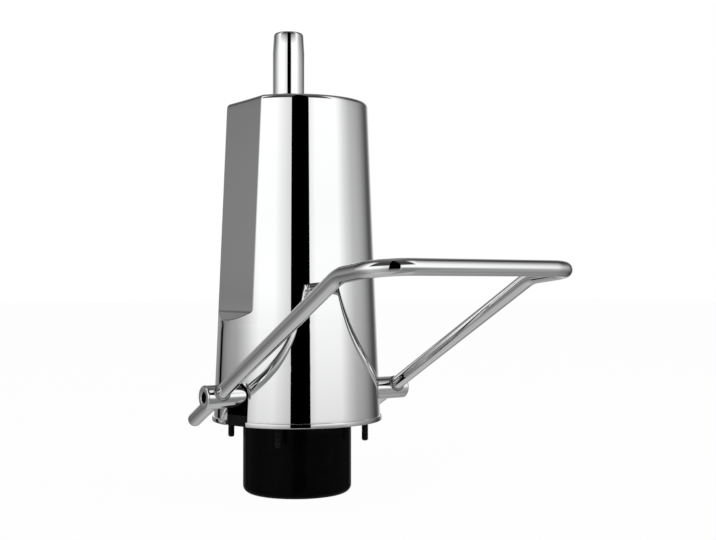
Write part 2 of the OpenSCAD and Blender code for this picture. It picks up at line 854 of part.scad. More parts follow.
// One side of the pedal: stub, arm and bend, then the outer end and its corner
module pedal_side() {
    bend_t = arm_bend_r * tan((arm_rise - tread_rise) / 2);
    arm_axis(arm_x) {
        translate([0, 0, bar_r - stub_len]) sphere(r = bar_r);
        translate([0, 0, bar_r - stub_len]) cylinder(r = bar_r, h = stub_len + arm_len - bend_t - bar_r);
        translate([0, 0, arm_len - bend_t]) rotate([0, 0, 90]) bend(arm_bend_r, arm_rise - tread_rise);
    }
    at_tread() translate([arm_x, 0, 0]) {
        translate([0, 0, bend_t]) cylinder(r = bar_r, h = tread_len - corner_r - bend_t);
        translate([0, 0, tread_len - corner_r]) bend(corner_r, 90);
    }
}

// The round beads that weld the arms to the axle
module arm_welds() {
    sink = 0.5;
    difference() {
        both_sides() arm_axis(arm_x) for (side = [-1, 1]) translate([0, 0, side * (axle_r - sink)])
            rotate_extrude() translate([bar_r + sink, 0]) circle(r = weld_r);
        axle_rod(axle_r + fit_seat, -axle_len, axle_len);
    }
}

module pedal_loop() {
    half = arm_x - corner_r;
    color(CHROME) union() {
        both_sides() pedal_side();
        at_tread() translate([-half, 0, tread_len]) rotate([0, 90, 0]) cylinder(r = bar_r, h = 2 * half);
        arm_welds();
    }
}

// Centre of the roller in the cam's own frame when the axle has turned by a
function roller_path(a) = (reach_0 + cam_rate * a * PI / 180) * [cos(-90 - a), sin(-90 - a)];

// Unit normal of that path, pointing at the axle
function path_normal(a) = let (r = reach_0 + cam_rate * a * PI / 180, c = cos(-90 - a), s = sin(-90 - a),
    n = [cam_rate * s - r * c, -cam_rate * c - r * s]) n / norm(n);

// The cam's face is the parallel curve, one roller radius inside the roller's path
function cam_face(a) = roller_path(a) + (roller_r + air) * path_normal(a);

module rocker_cam() {
    step = 3;
    lead = 4;
    flank_turn = 165;
    flank = cam_hub_r * [cos(flank_turn), sin(flank_turn)];
    face = [for (a = [-lead:step:cam_end]) cam_face(a)];
    color(IRON) difference() {
        union() {
            axle_rod(cam_hub_r, -cam_hub_w / 2, cam_hub_w / 2);
            translate([-cam_w / 2, axle_y, axle_z]) rotate([90, 0, 90]) linear_extrude(height = cam_w)
                polygon(concat(face, [flank, [0, 0]]));
        }
        axle_rod(axle_r + fit_seat, -cam_hub_w, cam_hub_w);
        pin_hole(cam_pin_r, 0);
    }
}

module cam_pin() {
    color(STEEL) leaning_pin(cam_pin_r, cam_hub_r - air, 0);
}

// The fork lifts the release rod's head at the end of the pedal's travel
module release_fork() {
    color(IRON) difference() {
        union() {
            axle_rod(hub_r, fork_x - fork_w / 2, fork_x + fork_w / 2);
            translate([fork_x - fork_w / 2, axle_y, axle_z - fork_r])
                cube([fork_w, release_reach, 2 * fork_r]);
            translate([fork_x - fork_w / 2, axle_y + release_reach, axle_z]) rotate([0, 90, 0])
                cylinder(r = fork_r, h = fork_w);
        }
        axle_rod(axle_r + fit_seat, 0, 2 * fork_x);
        difference() {
            axle_rod(2 * release_reach, fork_x - fork_slot_w / 2, fork_x + fork_slot_w / 2);
            axle_rod(fork_neck_r, 0, 2 * fork_x);
        }
        pin_hole(fork_pin_r, fork_x);
    }
}

module fork_pin() {
    color(STEEL) leaning_pin(fork_pin_r, fork_neck_r - air, fork_x);
}

module collar_screw_axis() {
    translate([collar_out - collar_w / 2, axle_y, axle_z + axle_r]) children();
}

module shaft_collars() {
    color(STEEL) both_sides() difference() {
        axle_rod(collar_d / 2, collar_out - collar_w, collar_out);
        axle_rod(axle_r + fit_seat, 0, collar_out + cut);
        collar_screw_axis() cylinder(r = screw_r + fit_seat, h = collar_d);
    }
}

module collar_screws() {
    key_af = 2.5;
    key_z = 2.5;
    color(BLACK) both_sides() collar_screw_axis() difference() {
        post(screw_r, 2 * ball_gap, collar_d / 2 - axle_r - thread_end);
        hex(key_af, key_z, collar_d);
    }
}

module ram() {
    centre_r = 3;
    centre_h = 6;
    sink_h = 1.5;
    edge_z = ram_top - tip_r;
    edge_x = taper_d / 2 - tip_r;
    color(CHROME) at_ram() difference() {
        union() {
            post(spigot_d / 2, piston_z - nut_h, shoulder_z + cut);
            post(ram_r, shoulder_z, spindle_z);
            rotate_extrude() union() {
                polygon([[0, spindle_z - cut], [spindle_r, spindle_z - cut], [spindle_r, taper_z],
                    [taper_d / 2, edge_z], [edge_x, edge_z], [edge_x, ram_top], [0, ram_top]]);
                translate([edge_x, edge_z]) circle(r = tip_r);
            }
        }
        post(centre_r, ram_top - centre_h, ram_top + cut);
        translate([0, 0, ram_top - sink_h])
            cylinder(r1 = centre_r, r2 = centre_r + 2 * sink_h, h = 2 * sink_h);
    }
}

module thrust_washer() {
    rim = 1.2;
    color(BRONZE) at_ram() tube(ram_r + rim, spigot_d / 2 + fit_seat, shoulder_z - washer_t, shoulder_z);
}

module piston_nut() {
    color(STEEL) at_ram() difference() {
        hex(nut_af, piston_z - nut_h, piston_z - swivel_gap);
        post(spigot_d / 2 + fit_seat, piston_z - nut_h - cut, piston_z + cut);
    }
}

module piston() {
    color(IRON) at_ram() difference() {
        post(piston_r, piston_z, piston_top);
        post(spigot_d / 2 + fit_run, piston_z - cut, piston_top + cut);
        tube(tube_r, band_groove_r, seal_z, seal_z + seal_h);
        tube(tube_r, band_groove_r, band_z, band_z + band_h);
    }
}

module piston_ring(z, h) {
    at_ram() tube(tube_r - fit_run, band_groove_r + fit_seat, z + fit_seat, z + h - fit_seat);
}

module piston_seal() {
    color(RUBBER) piston_ring(seal_z, seal_h);
}

module guide_ring() {
    color(BRONZE) piston_ring(band_z, band_h);
}

reservoir_can();
can_gasket();
drain_bolt();
drain_washer();
pump_body();
flange_bolts();
spring_washers();
filler_plug();
cylinder_tube();
gland_head();
gland_o_ring();
rod_seal();
wiper_seal();
ring_nut();
shroud();
axle_bushes();
suction_seat();
suction_ball();
strainer();
discharge_ball();
discharge_spring();
discharge_stop();
discharge_plug();
release_seat();
release_rod();
release_spring();
plunger_seal();
plunger();
roller_pin();
follower_roller();
plunger_spring();
axle_tube();
pedal_loop();
rocker_cam();
cam_pin();
release_fork();
fork_pin();
shaft_collars();
collar_screws();
ram();
thrust_washer();
piston_nut();
piston();
piston_seal();
guide_ring();
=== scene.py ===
"""Looks of the barber chair hydraulic pump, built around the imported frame.

The frame's origin is on the reservoir axis at the underside of the flange. +Z is up, the
pedal reaches towards -Y and its axle lies along X. Everything is in metres.
"""

import json
import logging
import math
from dataclasses import dataclass
from enum import Enum
from typing import Iterable, Sequence

import bmesh
import bpy
import numpy as np
from mathutils import Matrix, Vector

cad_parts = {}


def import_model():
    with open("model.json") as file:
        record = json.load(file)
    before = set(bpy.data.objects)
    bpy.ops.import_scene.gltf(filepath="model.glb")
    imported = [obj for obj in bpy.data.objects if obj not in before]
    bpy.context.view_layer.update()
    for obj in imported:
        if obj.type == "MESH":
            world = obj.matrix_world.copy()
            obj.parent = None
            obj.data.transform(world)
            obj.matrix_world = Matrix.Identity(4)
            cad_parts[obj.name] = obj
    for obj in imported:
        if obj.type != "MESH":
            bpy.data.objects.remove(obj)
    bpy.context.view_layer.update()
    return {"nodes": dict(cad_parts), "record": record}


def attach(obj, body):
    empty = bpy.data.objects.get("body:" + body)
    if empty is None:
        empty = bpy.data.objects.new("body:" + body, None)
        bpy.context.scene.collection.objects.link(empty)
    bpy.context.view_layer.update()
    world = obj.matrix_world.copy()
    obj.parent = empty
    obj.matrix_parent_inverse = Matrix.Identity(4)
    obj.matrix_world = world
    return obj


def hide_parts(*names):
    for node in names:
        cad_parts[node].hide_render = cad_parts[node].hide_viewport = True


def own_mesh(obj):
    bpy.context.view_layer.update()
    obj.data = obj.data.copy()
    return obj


log = logging.getLogger("pump")

Object, Material = bpy.types.Object, bpy.types.Material
Mesh, Socket = bpy.types.Mesh, bpy.types.NodeSocket
Point = tuple[float, float, float]
Profile = list[tuple[float, float]]
Stops = Sequence[tuple[float, float]]
MM = 0.001
AXLE_Y, AXLE_Z = -19.5 * MM, 25.5 * MM
SHARP_ANGLE = math.radians(35)
ROW_STEP = 12 * MM
NOISE_LOW, NOISE_HIGH = 0.3, 0.7


class Finish(Enum):
    """The record's material slots, one for each finish, and the duller chrome over the welds."""

    CHROME = "chrome"
    WELD = "chrome_weld"
    ENAMEL = "black_enamel"
    IRON = "cast_iron"
    BLACK_STEEL = "black_steel"
    ZINC = "zinc_steel"
    GROUND = "ground_steel"
    SPRING = "spring_steel"
    BRONZE = "bronze"
    RUBBER = "rubber"

    @property
    def slot(self) -> str:
        """The record's slot that the finish belongs to."""
        return "chrome" if self is Finish.WELD else self.value


class Body(Enum):
    """The moving bodies that a piece can ride on."""

    BASE = "base"
    PEDAL = "pedal"
    RAM = "ram"


class NodeSheet:
    """A material's node tree, with short ways to add and join nodes."""

    def __init__(self, name: str) -> None:
        """Starts an empty tree with an output.

        Args:
            name: name of the material.
        """
        self.material = bpy.data.materials.new(name)
        self.material.use_nodes = True
        self.tree = self.material.node_tree
        self.tree.nodes.clear()
        self.output = self.add("ShaderNodeOutputMaterial")

    def add(self, kind: str, **inputs: object) -> bpy.types.Node:
        """Adds a node.

        Args:
            kind: Blender's name of the node type.
            **inputs: values of its inputs, with _ for a space in the input's name.

        Returns:
            The new node.
        """
        node = self.tree.nodes.new(kind)
        for name, value in inputs.items():
            node.inputs[name.replace("_", " ")].default_value = value
        return node

    def link(self, a: Socket, b: Socket) -> None:
        """Joins an output to an input."""
        self.tree.links.new(a, b)

    def noise(self, scale: float, detail: float, stretch: Point) -> Socket:
        """A noise pattern on Object coordinates.

        Args:
            scale: how many times the pattern repeats in a metre.
            detail: how many finer layers it has.
            stretch: scale along X, Y and Z.

        Returns:
            The pattern's factor socket.
        """
        place = self.add("ShaderNodeTexCoord")
        mapping = self.add("ShaderNodeMapping", Scale=stretch)
        pattern = self.add("ShaderNodeTexNoise", Scale=scale, Detail=detail)
        self.link(place.outputs["Object"], mapping.inputs["Vector"])
        self.link(mapping.outputs["Vector"], pattern.inputs["Vector"])
        return pattern.outputs["Fac"]

    def spread(self, factor: Socket, low: float, high: float) -> Socket:
        """Maps the middle of a pattern to a range.

        Args:
            factor: the pattern.
            low: result where the pattern is low.
            high: result where it is high.

        Returns:
            The socket of the result.
        """
        ramp = self.add("ShaderNodeMapRange", From_Min=NOISE_LOW, From_Max=NOISE_HIGH,
                        To_Min=low, To_Max=high)
        self.link(factor, ramp.inputs["Value"])
        return ramp.outputs["Result"]

    def bump(self, height: Socket, depth: float) -> Socket:
        """Makes a bump of a height pattern.

        Args:
            height: the pattern.
            depth: the bump's depth in metres.

        Returns:
            The socket of the normal.
        """
        node = self.add("ShaderNodeBump", Strength=1.0, Distance=depth)
        self.link(height, node.inputs["Height"])
        return node.outputs["Normal"]

    def tint(self, factor: Socket, dark: Point, light: Point) -> Socket:
        """Mixes two colours by a pattern.

        Args:
            factor: the pattern.
            dark: colour where the pattern is low.
            light: colour where it is high.

        Returns:
            The socket of the mixed colour.
        """
        mix = self.add("ShaderNodeMix")
        mix.data_type = "RGBA"
        sockets = [s for s in mix.inputs if s.type == "RGBA"]
        sockets[0].default_value = (*dark, 1)
        sockets[1].default_value = (*light, 1)
        self.link(factor, mix.inputs["Factor"])
        return next(s for s in mix.outputs if s.type == "RGBA")


@dataclass(frozen=True)
class Surface:
    """A finish: its colours, gloss, and the scale of its marks."""

    finish: Finish
    dark: Point
    light: Point
    metallic: float
    rough: tuple[float, float]
    grain_scale: float
    grain_depth: float
    stretch: Point = (1, 1, 1)
    specular: float = 0.5
    cloud_ratio: float = 0.12

    def material(self) -> Material:
        """Builds the finish as a procedural material.

        Returns:
            The new material.
        """
        sheet = NodeSheet(self.finish.value + "_finish")
        shader = sheet.add("ShaderNodeBsdfPrincipled", Metallic=self.metallic,
                           Specular_IOR_Level=self.specular)
        cloud = sheet.noise(self.grain_scale * self.cloud_ratio, 4, self.stretch)
        grain = sheet.noise(self.grain_scale, 5, self.stretch)
        shades = sheet.tint(sheet.spread(cloud, 0, 1), self.dark, self.light)
        sheet.link(shades, shader.inputs["Base Color"])
        sheet.link(sheet.spread(grain, *self.rough), shader.inputs["Roughness"])
        if self.grain_depth:
            sheet.link(sheet.bump(grain, self.grain_depth), shader.inputs["Normal"])
        sheet.link(shader.outputs["BSDF"], sheet.output.inputs["Surface"])
        return sheet.material


SURFACES = (
    Surface(Finish.CHROME, (0.90, 0.905, 0.91), (0.96, 0.96, 0.96), 1.0, (0.012, 0.03), 60, 0.0),
    Surface(Finish.WELD, (0.22, 0.22, 0.23), (0.55, 0.55, 0.56), 1.0, (0.08, 0.3), 1400, 0.00006),
    Surface(Finish.ENAMEL, (0.0007, 0.0007, 0.0008), (0.0018, 0.0018, 0.002), 0.0, (0.14, 0.24),
            900, 0.00002, specular=0.045),
    Surface(Finish.IRON, (0.0015, 0.0015, 0.0016), (0.0075, 0.0075, 0.0075), 0.2, (0.45, 0.75),
            1300, 0.0003, specular=0.2),
    Surface(Finish.BLACK_STEEL, (0.006, 0.006, 0.006), (0.016, 0.016, 0.017), 0.7, (0.3, 0.5),
            1800, 0.00005, specular=0.3),
    Surface(Finish.ZINC, (0.50, 0.51, 0.53), (0.66, 0.66, 0.67), 1.0, (0.25, 0.42), 700, 0.00003),
    Surface(Finish.GROUND, (0.58, 0.59, 0.61), (0.70, 0.70, 0.71), 1.0, (0.12, 0.26),
            900, 0.00001, stretch=(1, 1, 14)),
    Surface(Finish.SPRING, (0.20, 0.20, 0.21), (0.33, 0.33, 0.34), 1.0, (0.25, 0.4), 1200, 0.00002),
    Surface(Finish.BRONZE, (0.42, 0.25, 0.10), (0.62, 0.40, 0.18), 1.0, (0.28, 0.45), 900, 0.00002),
    Surface(Finish.RUBBER, (0.012, 0.012, 0.012), (0.03, 0.03, 0.03), 0.0, (0.55, 0.8),
            1600, 0.00006, specular=0.3),
)


class Paintshop:
    """Holds one material for each finish and puts it on pieces and CAD nodes."""

    def __init__(self, record: dict) -> None:
        """Mixes all finishes and reads which node wears which slot.

        Args:
            record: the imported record.
        """
        self.materials = {s.finish: s.material() for s in SURFACES}
        self.slots = {part["node"]: part["material_slot"] for part in record["subparts"]}

    def coat(self, obj: Object, finish: Finish) -> None:
        """Gives a piece one finish."""
        obj.data.materials.clear()
        obj.data.materials.append(self.materials[finish])

    def dress_nodes(self, nodes: dict[str, Object]) -> None:
        """Gives every CAD node the finish of its slot."""
        for name, obj in nodes.items():
            self.coat(obj, Finish(self.slots[name]))


def add_object(name: str, data: bpy.types.ID) -> Object:
    """Makes an object at the origin and links it to the scene.

    Args:
        name: name of the object.
        data: its mesh, camera or lamp.

    Returns:
        The new object.
    """
    obj = bpy.data.objects.new(name, data)
    bpy.context.scene.collection.objects.link(obj)
    return obj


def new_mesh(name: str, points: Iterable[Sequence[float]], faces: Iterable[Sequence[int]],
             edges: Iterable[Sequence[int]] = ()) -> Object:
    """Makes a mesh object.

    Args:
        name: name of the piece.
        points: vertex places.
        faces: vertex numbers of each face.
        edges: vertex numbers of each loose edge.

    Returns:
        The new object.
    """
    mesh = bpy.data.meshes.new(name)
    mesh.from_pydata([tuple(p) for p in points], list(edges), [tuple(f) for f in faces])
    mesh.validate()
    return add_object(name, mesh)


def finish_mesh(obj: Object, angle: float = SHARP_ANGLE) -> Object:
    """Points the faces outwards and shades them smooth up to an angle.

    Args:
        obj: the mesh object.
        angle: edges sharper than this stay sharp.

    Returns:
        The same object.
    """
    mesh = obj.data
    work = bmesh.new()
    work.from_mesh(mesh)
    bmesh.ops.remove_doubles(work, verts=work.verts, dist=1e-6)
    bmesh.ops.recalc_face_normals(work, faces=work.faces)
    work.to_mesh(mesh)
    work.free()
    mesh.polygons.foreach_set("use_smooth", [True] * len(mesh.polygons))
    mesh.set_sharp_from_angle(angle=angle)
    mesh.update()
    return obj


def grid_faces(rings: int, columns: int, wrap: bool) -> list[tuple[int, ...]]:
    """Quads between closed rings of points.

    Args:
        rings: how many rings there are.
        columns: how many points a ring has.
        wrap: whether the last ring joins the first.

    Returns:
        The quads.
    """
    quads = []
    for i in range(rings if wrap else rings - 1):
        for j in range(columns):
            i2, j2 = (i + 1) % rings, (j + 1) % columns
            quads.append((i * columns + j, i * columns + j2, i2 * columns + j2, i2 * columns + j))
    return quads


def skinned(name: str, rings: Sequence[np.ndarray], wrap: bool) -> Object:
    """Skins a row of rings, and joins the last to the first where they wrap round."""
    faces = grid_faces(len(rings), len(rings[0]), wrap)
    return finish_mesh(new_mesh(name, np.vstack(rings), faces))


def around(count: int) -> np.ndarray:
    """Evenly spaced angles of a full turn."""
    return np.linspace(0, 2 * math.pi, count, endpoint=False)


def ring_at(radius: np.ndarray, turn: np.ndarray, z: float) -> np.ndarray:
    """A ring of points about the Z axis, with a radius for each angle."""
    return np.column_stack([radius * np.cos(turn), radius * np.sin(turn), np.full_like(turn, z)])


def turned(name: str, profile: Profile, place: Matrix, sides: int, closed: bool = False) -> Object:
    """Turns a profile about its axis.

    Args:
        name: name of the piece.
        profile: (radius, height) points; an open profile starts and ends on the axis.
        place: turns +Z into the axis and moves it.
        sides: how many segments the turn has.
        closed: whether the profile is a closed ring.

    Returns:
        The turned piece.
    """
    angles = around(sides)
    rows = [[(r * math.cos(a), r * math.sin(a), z) for a in angles] for r, z in profile]
    turn, shift = np.array(place)[:3, :3], np.array(place)[:3, 3]
    points = (turn @ np.array(rows).reshape(-1, 3).T).T + shift
    return skinned(name, points.reshape(-1, sides, 3), closed)


def arc(cx: float, cz: float, r: float, start: float, end: float, steps: int) -> Profile:
    """Points of an arc in a profile, with angles in degrees."""
    turn = [math.radians(start + (end - start) * k / steps) for k in range(steps + 1)]
    return [(cx + r * math.cos(a), cz + r * math.sin(a)) for a in turn]


def stacked(profile: Profile, step: float = ROW_STEP) -> Profile:
    """Splits the long straight stretches of a profile.

    Args:
        profile: the profile's corners.
        step: longest distance between two points of the result.

    Returns:
        The profile with the added points.
    """
    made = [profile[0]]
    for (r0, z0), (r1, z1) in zip(profile, profile[1:]):
        n = max(1, math.ceil(math.hypot(r1 - r0, z1 - z0) / step))
        made += [(r0 + (r1 - r0) * k / n, z0 + (z1 - z0) * k / n) for k in range(1, n + 1)]
    return made


def swept(name: str, path: np.ndarray, radii: np.ndarray, sides: int) -> Object:
    """Sweeps a circle along a path and caps both ends.

    Args:
        name: name of the piece.
        path: centre of each ring.
        radii: radius of each ring.
        sides: points in a ring.

    Returns:
        The swept piece.
    """
    ahead = np.gradient(path, axis=0)
    ahead /= np.linalg.norm(ahead, axis=1)[:, None]
    side = np.cross(ahead[0], (0.0, 0.0, 1.0))
    side /= np.linalg.norm(side)
    rings = []
    for centre, tangent, radius in zip(path, ahead, radii):
        side = side - tangent * (side @ tangent)
        side /= np.linalg.norm(side)
        other = np.cross(tangent, side)
        turn = around(sides)[:, None]
        rings.append(centre + radius * (np.cos(turn) * side + np.sin(turn) * other))
    last = (len(path) - 1) * sides
    caps = [tuple(range(sides - 1, -1, -1)), tuple(range(last, last + sides))]
    faces = grid_faces(len(path), sides, False) + caps
    return finish_mesh(new_mesh(name, np.vstack(rings), faces))


def settled_mesh(obj: Object) -> Mesh:
    """Runs an object's modifiers and takes them off it.

    Args:
        obj: the mesh object.

    Returns:
        The mesh that the modifiers make.
    """
    bpy.context.view_layer.update()
    graph = bpy.context.evaluated_depsgraph_get()
    mesh = bpy.data.meshes.new_from_object(obj.evaluated_get(graph))
    obj.modifiers.clear()
    return mesh


class Pattern:
    """A Geometry Nodes tree with named sizes, whose result becomes a plain mesh."""

    def __init__(self, name: str, sizes: dict[str, float]) -> None:
        """Starts the tree.

        Args:
            name: name of the tree.
            sizes: its named inputs, in metres or as plain numbers.
        """
        self.tree = bpy.data.node_groups.new(name, "GeometryNodeTree")
        self.sizes = sizes
        face = self.tree.interface
        face.new_socket("Geometry", in_out="OUTPUT", socket_type="NodeSocketGeometry")
        face.new_socket("Geometry", in_out="INPUT", socket_type="NodeSocketGeometry")
        for label in sizes:
            face.new_socket(label, in_out="INPUT", socket_type="NodeSocketFloat")
        face.new_socket("Finish", in_out="INPUT", socket_type="NodeSocketMaterial")
        self.entry = self.tree.nodes.new("NodeGroupInput")

    def size(self, label: str) -> Socket:
        """The socket of a named input."""
        return self.entry.outputs[label]

    def add(self, kind: str, mode: str = "", **inputs: object) -> Socket:
        """Adds a node.

        Args:
            kind: Blender's name of the node type.
            mode: the node's mode, where it has more than one.
            **inputs: its inputs, with _ for a space, each a value, a socket, the label of a named
                size, or a list of such.

        Returns:
            The node's first output.
        """
        node = self.tree.nodes.new(kind)
        if mode:
            node.mode = mode
        for label, value in inputs.items():
            socket = node.inputs[label.replace("_", " ")]
            for item in value if isinstance(value, list) else [value]:
                source = self.size(item) if isinstance(item, str) else item
                if isinstance(source, Socket):
                    self.tree.links.new(source, socket)
                else:
                    socket.default_value = source
        return node.outputs[0]

    def plus(self, a: Socket, b: Socket) -> Socket:
        """Adds two sizes.

        Args:
            a: one size.
            b: the other size.

        Returns:
            The socket of their sum.
        """
        node = self.tree.nodes.new("ShaderNodeMath")
        self.tree.links.new(a, node.inputs[0])
        self.tree.links.new(b, node.inputs[1])
        return node.outputs[0]

    def helix(self, turns: str, radius: str, height: str, steps: int) -> Socket:
        """A helix about the Z axis, with so many steps in each turn."""
        return self.add("GeometryNodeCurveSpiral", Resolution=steps, Rotations=turns,
                        Start_Radius=radius, End_Radius=radius, Height=height)

    def tube(self, line: Socket, radius: str, sides: int) -> Socket:
        """A tube along a line, closed at the line's ends."""
        section = self.add("GeometryNodeCurvePrimitiveCircle", Resolution=sides, Radius=radius)
        return self.add("GeometryNodeCurveToMesh", Curve=line, Profile_Curve=section,
                        Fill_Caps=True)

    def bake(self, base: Object, result: Socket, name: str, material: Material) -> Object:
        """Closes the tree, runs it on a base mesh and keeps the result as a plain piece.

        Args:
            base: the mesh that the tree starts from, which is removed.
            result: the geometry that the tree ends with.
            name: name of the finished piece.
            material: its finish.

        Returns:
            The finished piece.
        """
        real = self.add("GeometryNodeRealizeInstances", Geometry=result)
        coated = self.add("GeometryNodeSetMaterial", Geometry=real, Material="Finish")
        self.tree.links.new(coated, self.tree.nodes.new("NodeGroupOutput").inputs[0])
        run = base.modifiers.new("pattern", "NODES")
        run.node_group = self.tree
        values = {**self.sizes, "Finish": material}
        for item in self.tree.interface.items_tree:
            if item.in_out == "INPUT" and item.name in values:
                run[item.identifier] = values[item.name]
        mesh = settled_mesh(base)
        bpy.data.objects.remove(base)
        mesh.name = name
        return finish_mesh(add_object(name, mesh))


def cut_away(obj: Object, tool: Object) -> None:
    """Cuts one mesh by another and removes the tool.

    Args:
        obj: the piece that is cut.
        tool: the closed mesh that is taken out of it.
    """
    cutter = obj.modifiers.new("cut", "BOOLEAN")
    cutter.operation = "DIFFERENCE"
    cutter.solver = "EXACT"
    cutter.object = tool
    obj.data = settled_mesh(obj)
    bpy.data.objects.remove(tool)


def low_blend(a: np.ndarray, b: np.ndarray, width: float) -> np.ndarray:
    """The lower of two lengths, with a rounded change from one to the other."""
    near = np.maximum(width - np.abs(a - b), 0) / width
    return np.minimum(a, b) - near * near * width / 4


@dataclass
class Shroud:
    """The chromed steel shroud: a cone with a pressed flat on each side and a folded rim."""

    height: float = 277.5 * MM
    bottom_r: float = 73 * MM
    top_r: float = 62 * MM
    wall: float = 1.5 * MM
    edge_r: float = 4 * MM
    rim_h: float = 4.2 * MM
    rim_edge: float = 0.8 * MM
    rim_out: float = 1.5 * MM
    rim_top: float = 0.8
    rim_gap: float = 0.2 * MM
    rim_dip: float = 0.15 * MM
    rim_rise: float = 0.05 * MM
    flat_half: float = 32 * MM
    flat_z: float = 95.5 * MM
    ledge_slope: float = 43.0
    ledge_soft: float = 1.2 * MM
    crease: float = 0.55 * MM
    neck_r: float = 20.3 * MM
    neck_y: float = 16 * MM
    slot_r: float = 12 * MM
    slot_foot: float = -0.01
    slot_reach: float = 0.11
    slot_steps: int = 33
    smooth_angle: float = math.radians(28)
    # The grid: heights from, to and by so many millimetres, the angles of its rings on the rounded
    # shoulder, the shares of the way across the lid, and the gaps beside a crease, in millimetres.
    # Below the ledge the columns spread out again.
    heights: tuple[Point, ...] = ((6.2, 46, 2.6), (48, 84, 6), (85, 99, 0.5), (100, 273, 6.2))
    outer_tilts: tuple[int, ...] = (10, 20, 30, 40, 50, 60, 70, 80, 90)
    inner_tilts: tuple[int, ...] = (60, 30, 0)
    lid_shares: tuple[float, ...] = (0.2, 0.45, 0.7, 0.9, 0.99, 1.0)
    crease_gaps: tuple[float, ...] = (3.0, 2.2, 1.6, 1.1, 0.7, 0.35)
    flat_span: float = 34 * MM
    flat_columns: int = 12
    cone_columns: int = 34
    least_angle: float = 0.03
    least_cosine: float = 0.05
    round_ratio: float = 0.9995
    fade_drop: float = 8 * MM
    fade_len: float = 50 * MM

    def cone(self, z: float) -> float:
        """Radius of the plain cone at a height."""
        return self.bottom_r - (self.bottom_r - self.top_r) * z / self.height

    def flat_x(self, z: float) -> float:
        """Distance of a pressed flat, or of the ledge below it, from the axis.

        Args:
            z: height.

        Returns:
            The distance along X.
        """
        x_low = math.sqrt(self.cone(self.flat_z) ** 2 - self.flat_half**2)
        x_top = math.sqrt(self.top_r**2 - self.flat_half**2)
        per_z = (x_top - x_low) / (self.height - self.flat_z)
        pressed = x_low + per_z * (z - self.flat_z)
        ledge = x_low + (self.flat_z - z) / math.tan(math.radians(self.ledge_slope))
        return -float(low_blend(np.array(-pressed), np.array(-ledge), self.ledge_soft))

    def crease_angle(self, z: float) -> float:
        """Angle at which the flat meets the cone.

        Args:
            z: height.

        Returns:
            The angle from the X axis, also where there is no flat and it only guides the grid.
        """
        ratio = min(1.0, self.flat_x(z) / self.cone(z))
        if ratio > self.round_ratio:
            rest = math.acos(self.flat_half / self.bottom_r)
            fall = max(0.0, min(1.0, (self.flat_z - self.fade_drop - z) / self.fade_len))
            return self.least_angle + (math.pi / 2 - rest - self.least_angle) * fall
        return max(self.least_angle, math.acos(ratio))

    def columns(self, z: float) -> np.ndarray:
        """Angles of the grid's columns, close together beside the creases.

        Args:
            z: height.

        Returns:
            The angles of one ring.
        """
        near = np.array(self.crease_gaps) * MM
        inner = 1 - near / self.flat_span
        inside = np.concatenate([np.linspace(0, inner[0], self.flat_columns)[:-1], inner, [1.0]])
        outer = near[::-1] / self.bottom_r
        outside = np.concatenate([outer, np.linspace(outer[-1], 1, self.cone_columns)[1:]])
        crease = self.crease_angle(z)
        quarter = np.concatenate([crease * inside, crease + (math.pi / 2 - crease) * outside])
        half = np.concatenate([quarter, math.pi - quarter[-2::-1]])
        return np.concatenate([half, 2 * math.pi - half[-2:0:-1]])

    def radius(self, z: float, turn: np.ndarray) -> np.ndarray:
        """Outside radius at a height for each angle."""
        flat = self.flat_x(z) / np.maximum(np.abs(np.cos(turn)), self.least_cosine)
        return low_blend(np.full_like(turn, self.cone(z)), flat, self.crease)

    def rim_rings(self) -> list[np.ndarray]:
        """The folded band at the foot.

        Returns:
            Its rings, from the foot's inside up to the cone.
        """
        band = self.cone(self.rim_h / 2) + self.rim_out
        low, top = self.rim_edge, self.rim_edge * self.rim_top
        rim = arc(band - low, low, low, -90, 0, 6)
        rim += arc(band - top, self.rim_h - top, top, 0, 90, 5)
        rim += [(self.cone(self.rim_h) + self.rim_gap, self.rim_h),
                (self.cone(self.rim_h), self.rim_h - self.rim_dip)]
        foot = self.columns(0.0)
        return [ring_at(np.full_like(foot, r), foot, z) for r, z in rim]

    def build(self) -> Object:
        """Builds the shell as one closed grid, then cuts the two axle slots.

        Returns:
            The finished shell.
        """
        rows = self.rim_rings()
        levels = np.concatenate([[self.rim_h + self.rim_rise],
                                 *[np.arange(*band) * MM for band in self.heights]])
        shoulder = self.height - self.edge_r
        for z in [*levels, shoulder]:
            turn = self.columns(z)
            rows.append(ring_at(self.radius(z, turn), turn, z))
        turn = self.columns(shoulder)
        edge = self.radius(shoulder, turn)
        for tilt in [math.radians(a) for a in self.outer_tilts]:
            rows.append(ring_at(edge - self.edge_r * (1 - math.cos(tilt)), turn,
                                shoulder + self.edge_r * math.sin(tilt)))
        outer, hole = rows[-1], ring_at(np.full_like(turn, self.neck_r), turn, self.height)
        hole[:, 1] += self.neck_y
        rows += [outer + (hole - outer) * t for t in self.lid_shares]
        down = np.array([0, 0, -self.wall])
        inner = ring_at(edge - self.edge_r, turn, self.height)
        rows += [hole + down, (inner * 0.5 + hole * 0.5) + down, inner + down]
        small = self.edge_r - self.wall
        for tilt in [math.radians(a) for a in self.inner_tilts]:
            rows.append(ring_at(edge - self.edge_r + small * math.cos(tilt), turn,
                                shoulder + small * math.sin(tilt)))
        for z in [*levels[::-1][::2], 0.0]:
            turn = self.columns(z)
            rows.append(ring_at(self.radius(z, turn) - self.wall, turn, z))
        obj = skinned("shroud_shell", rows, True)
        cut_away(obj, self.slot_tool())
        return finish_mesh(obj, self.smooth_angle)

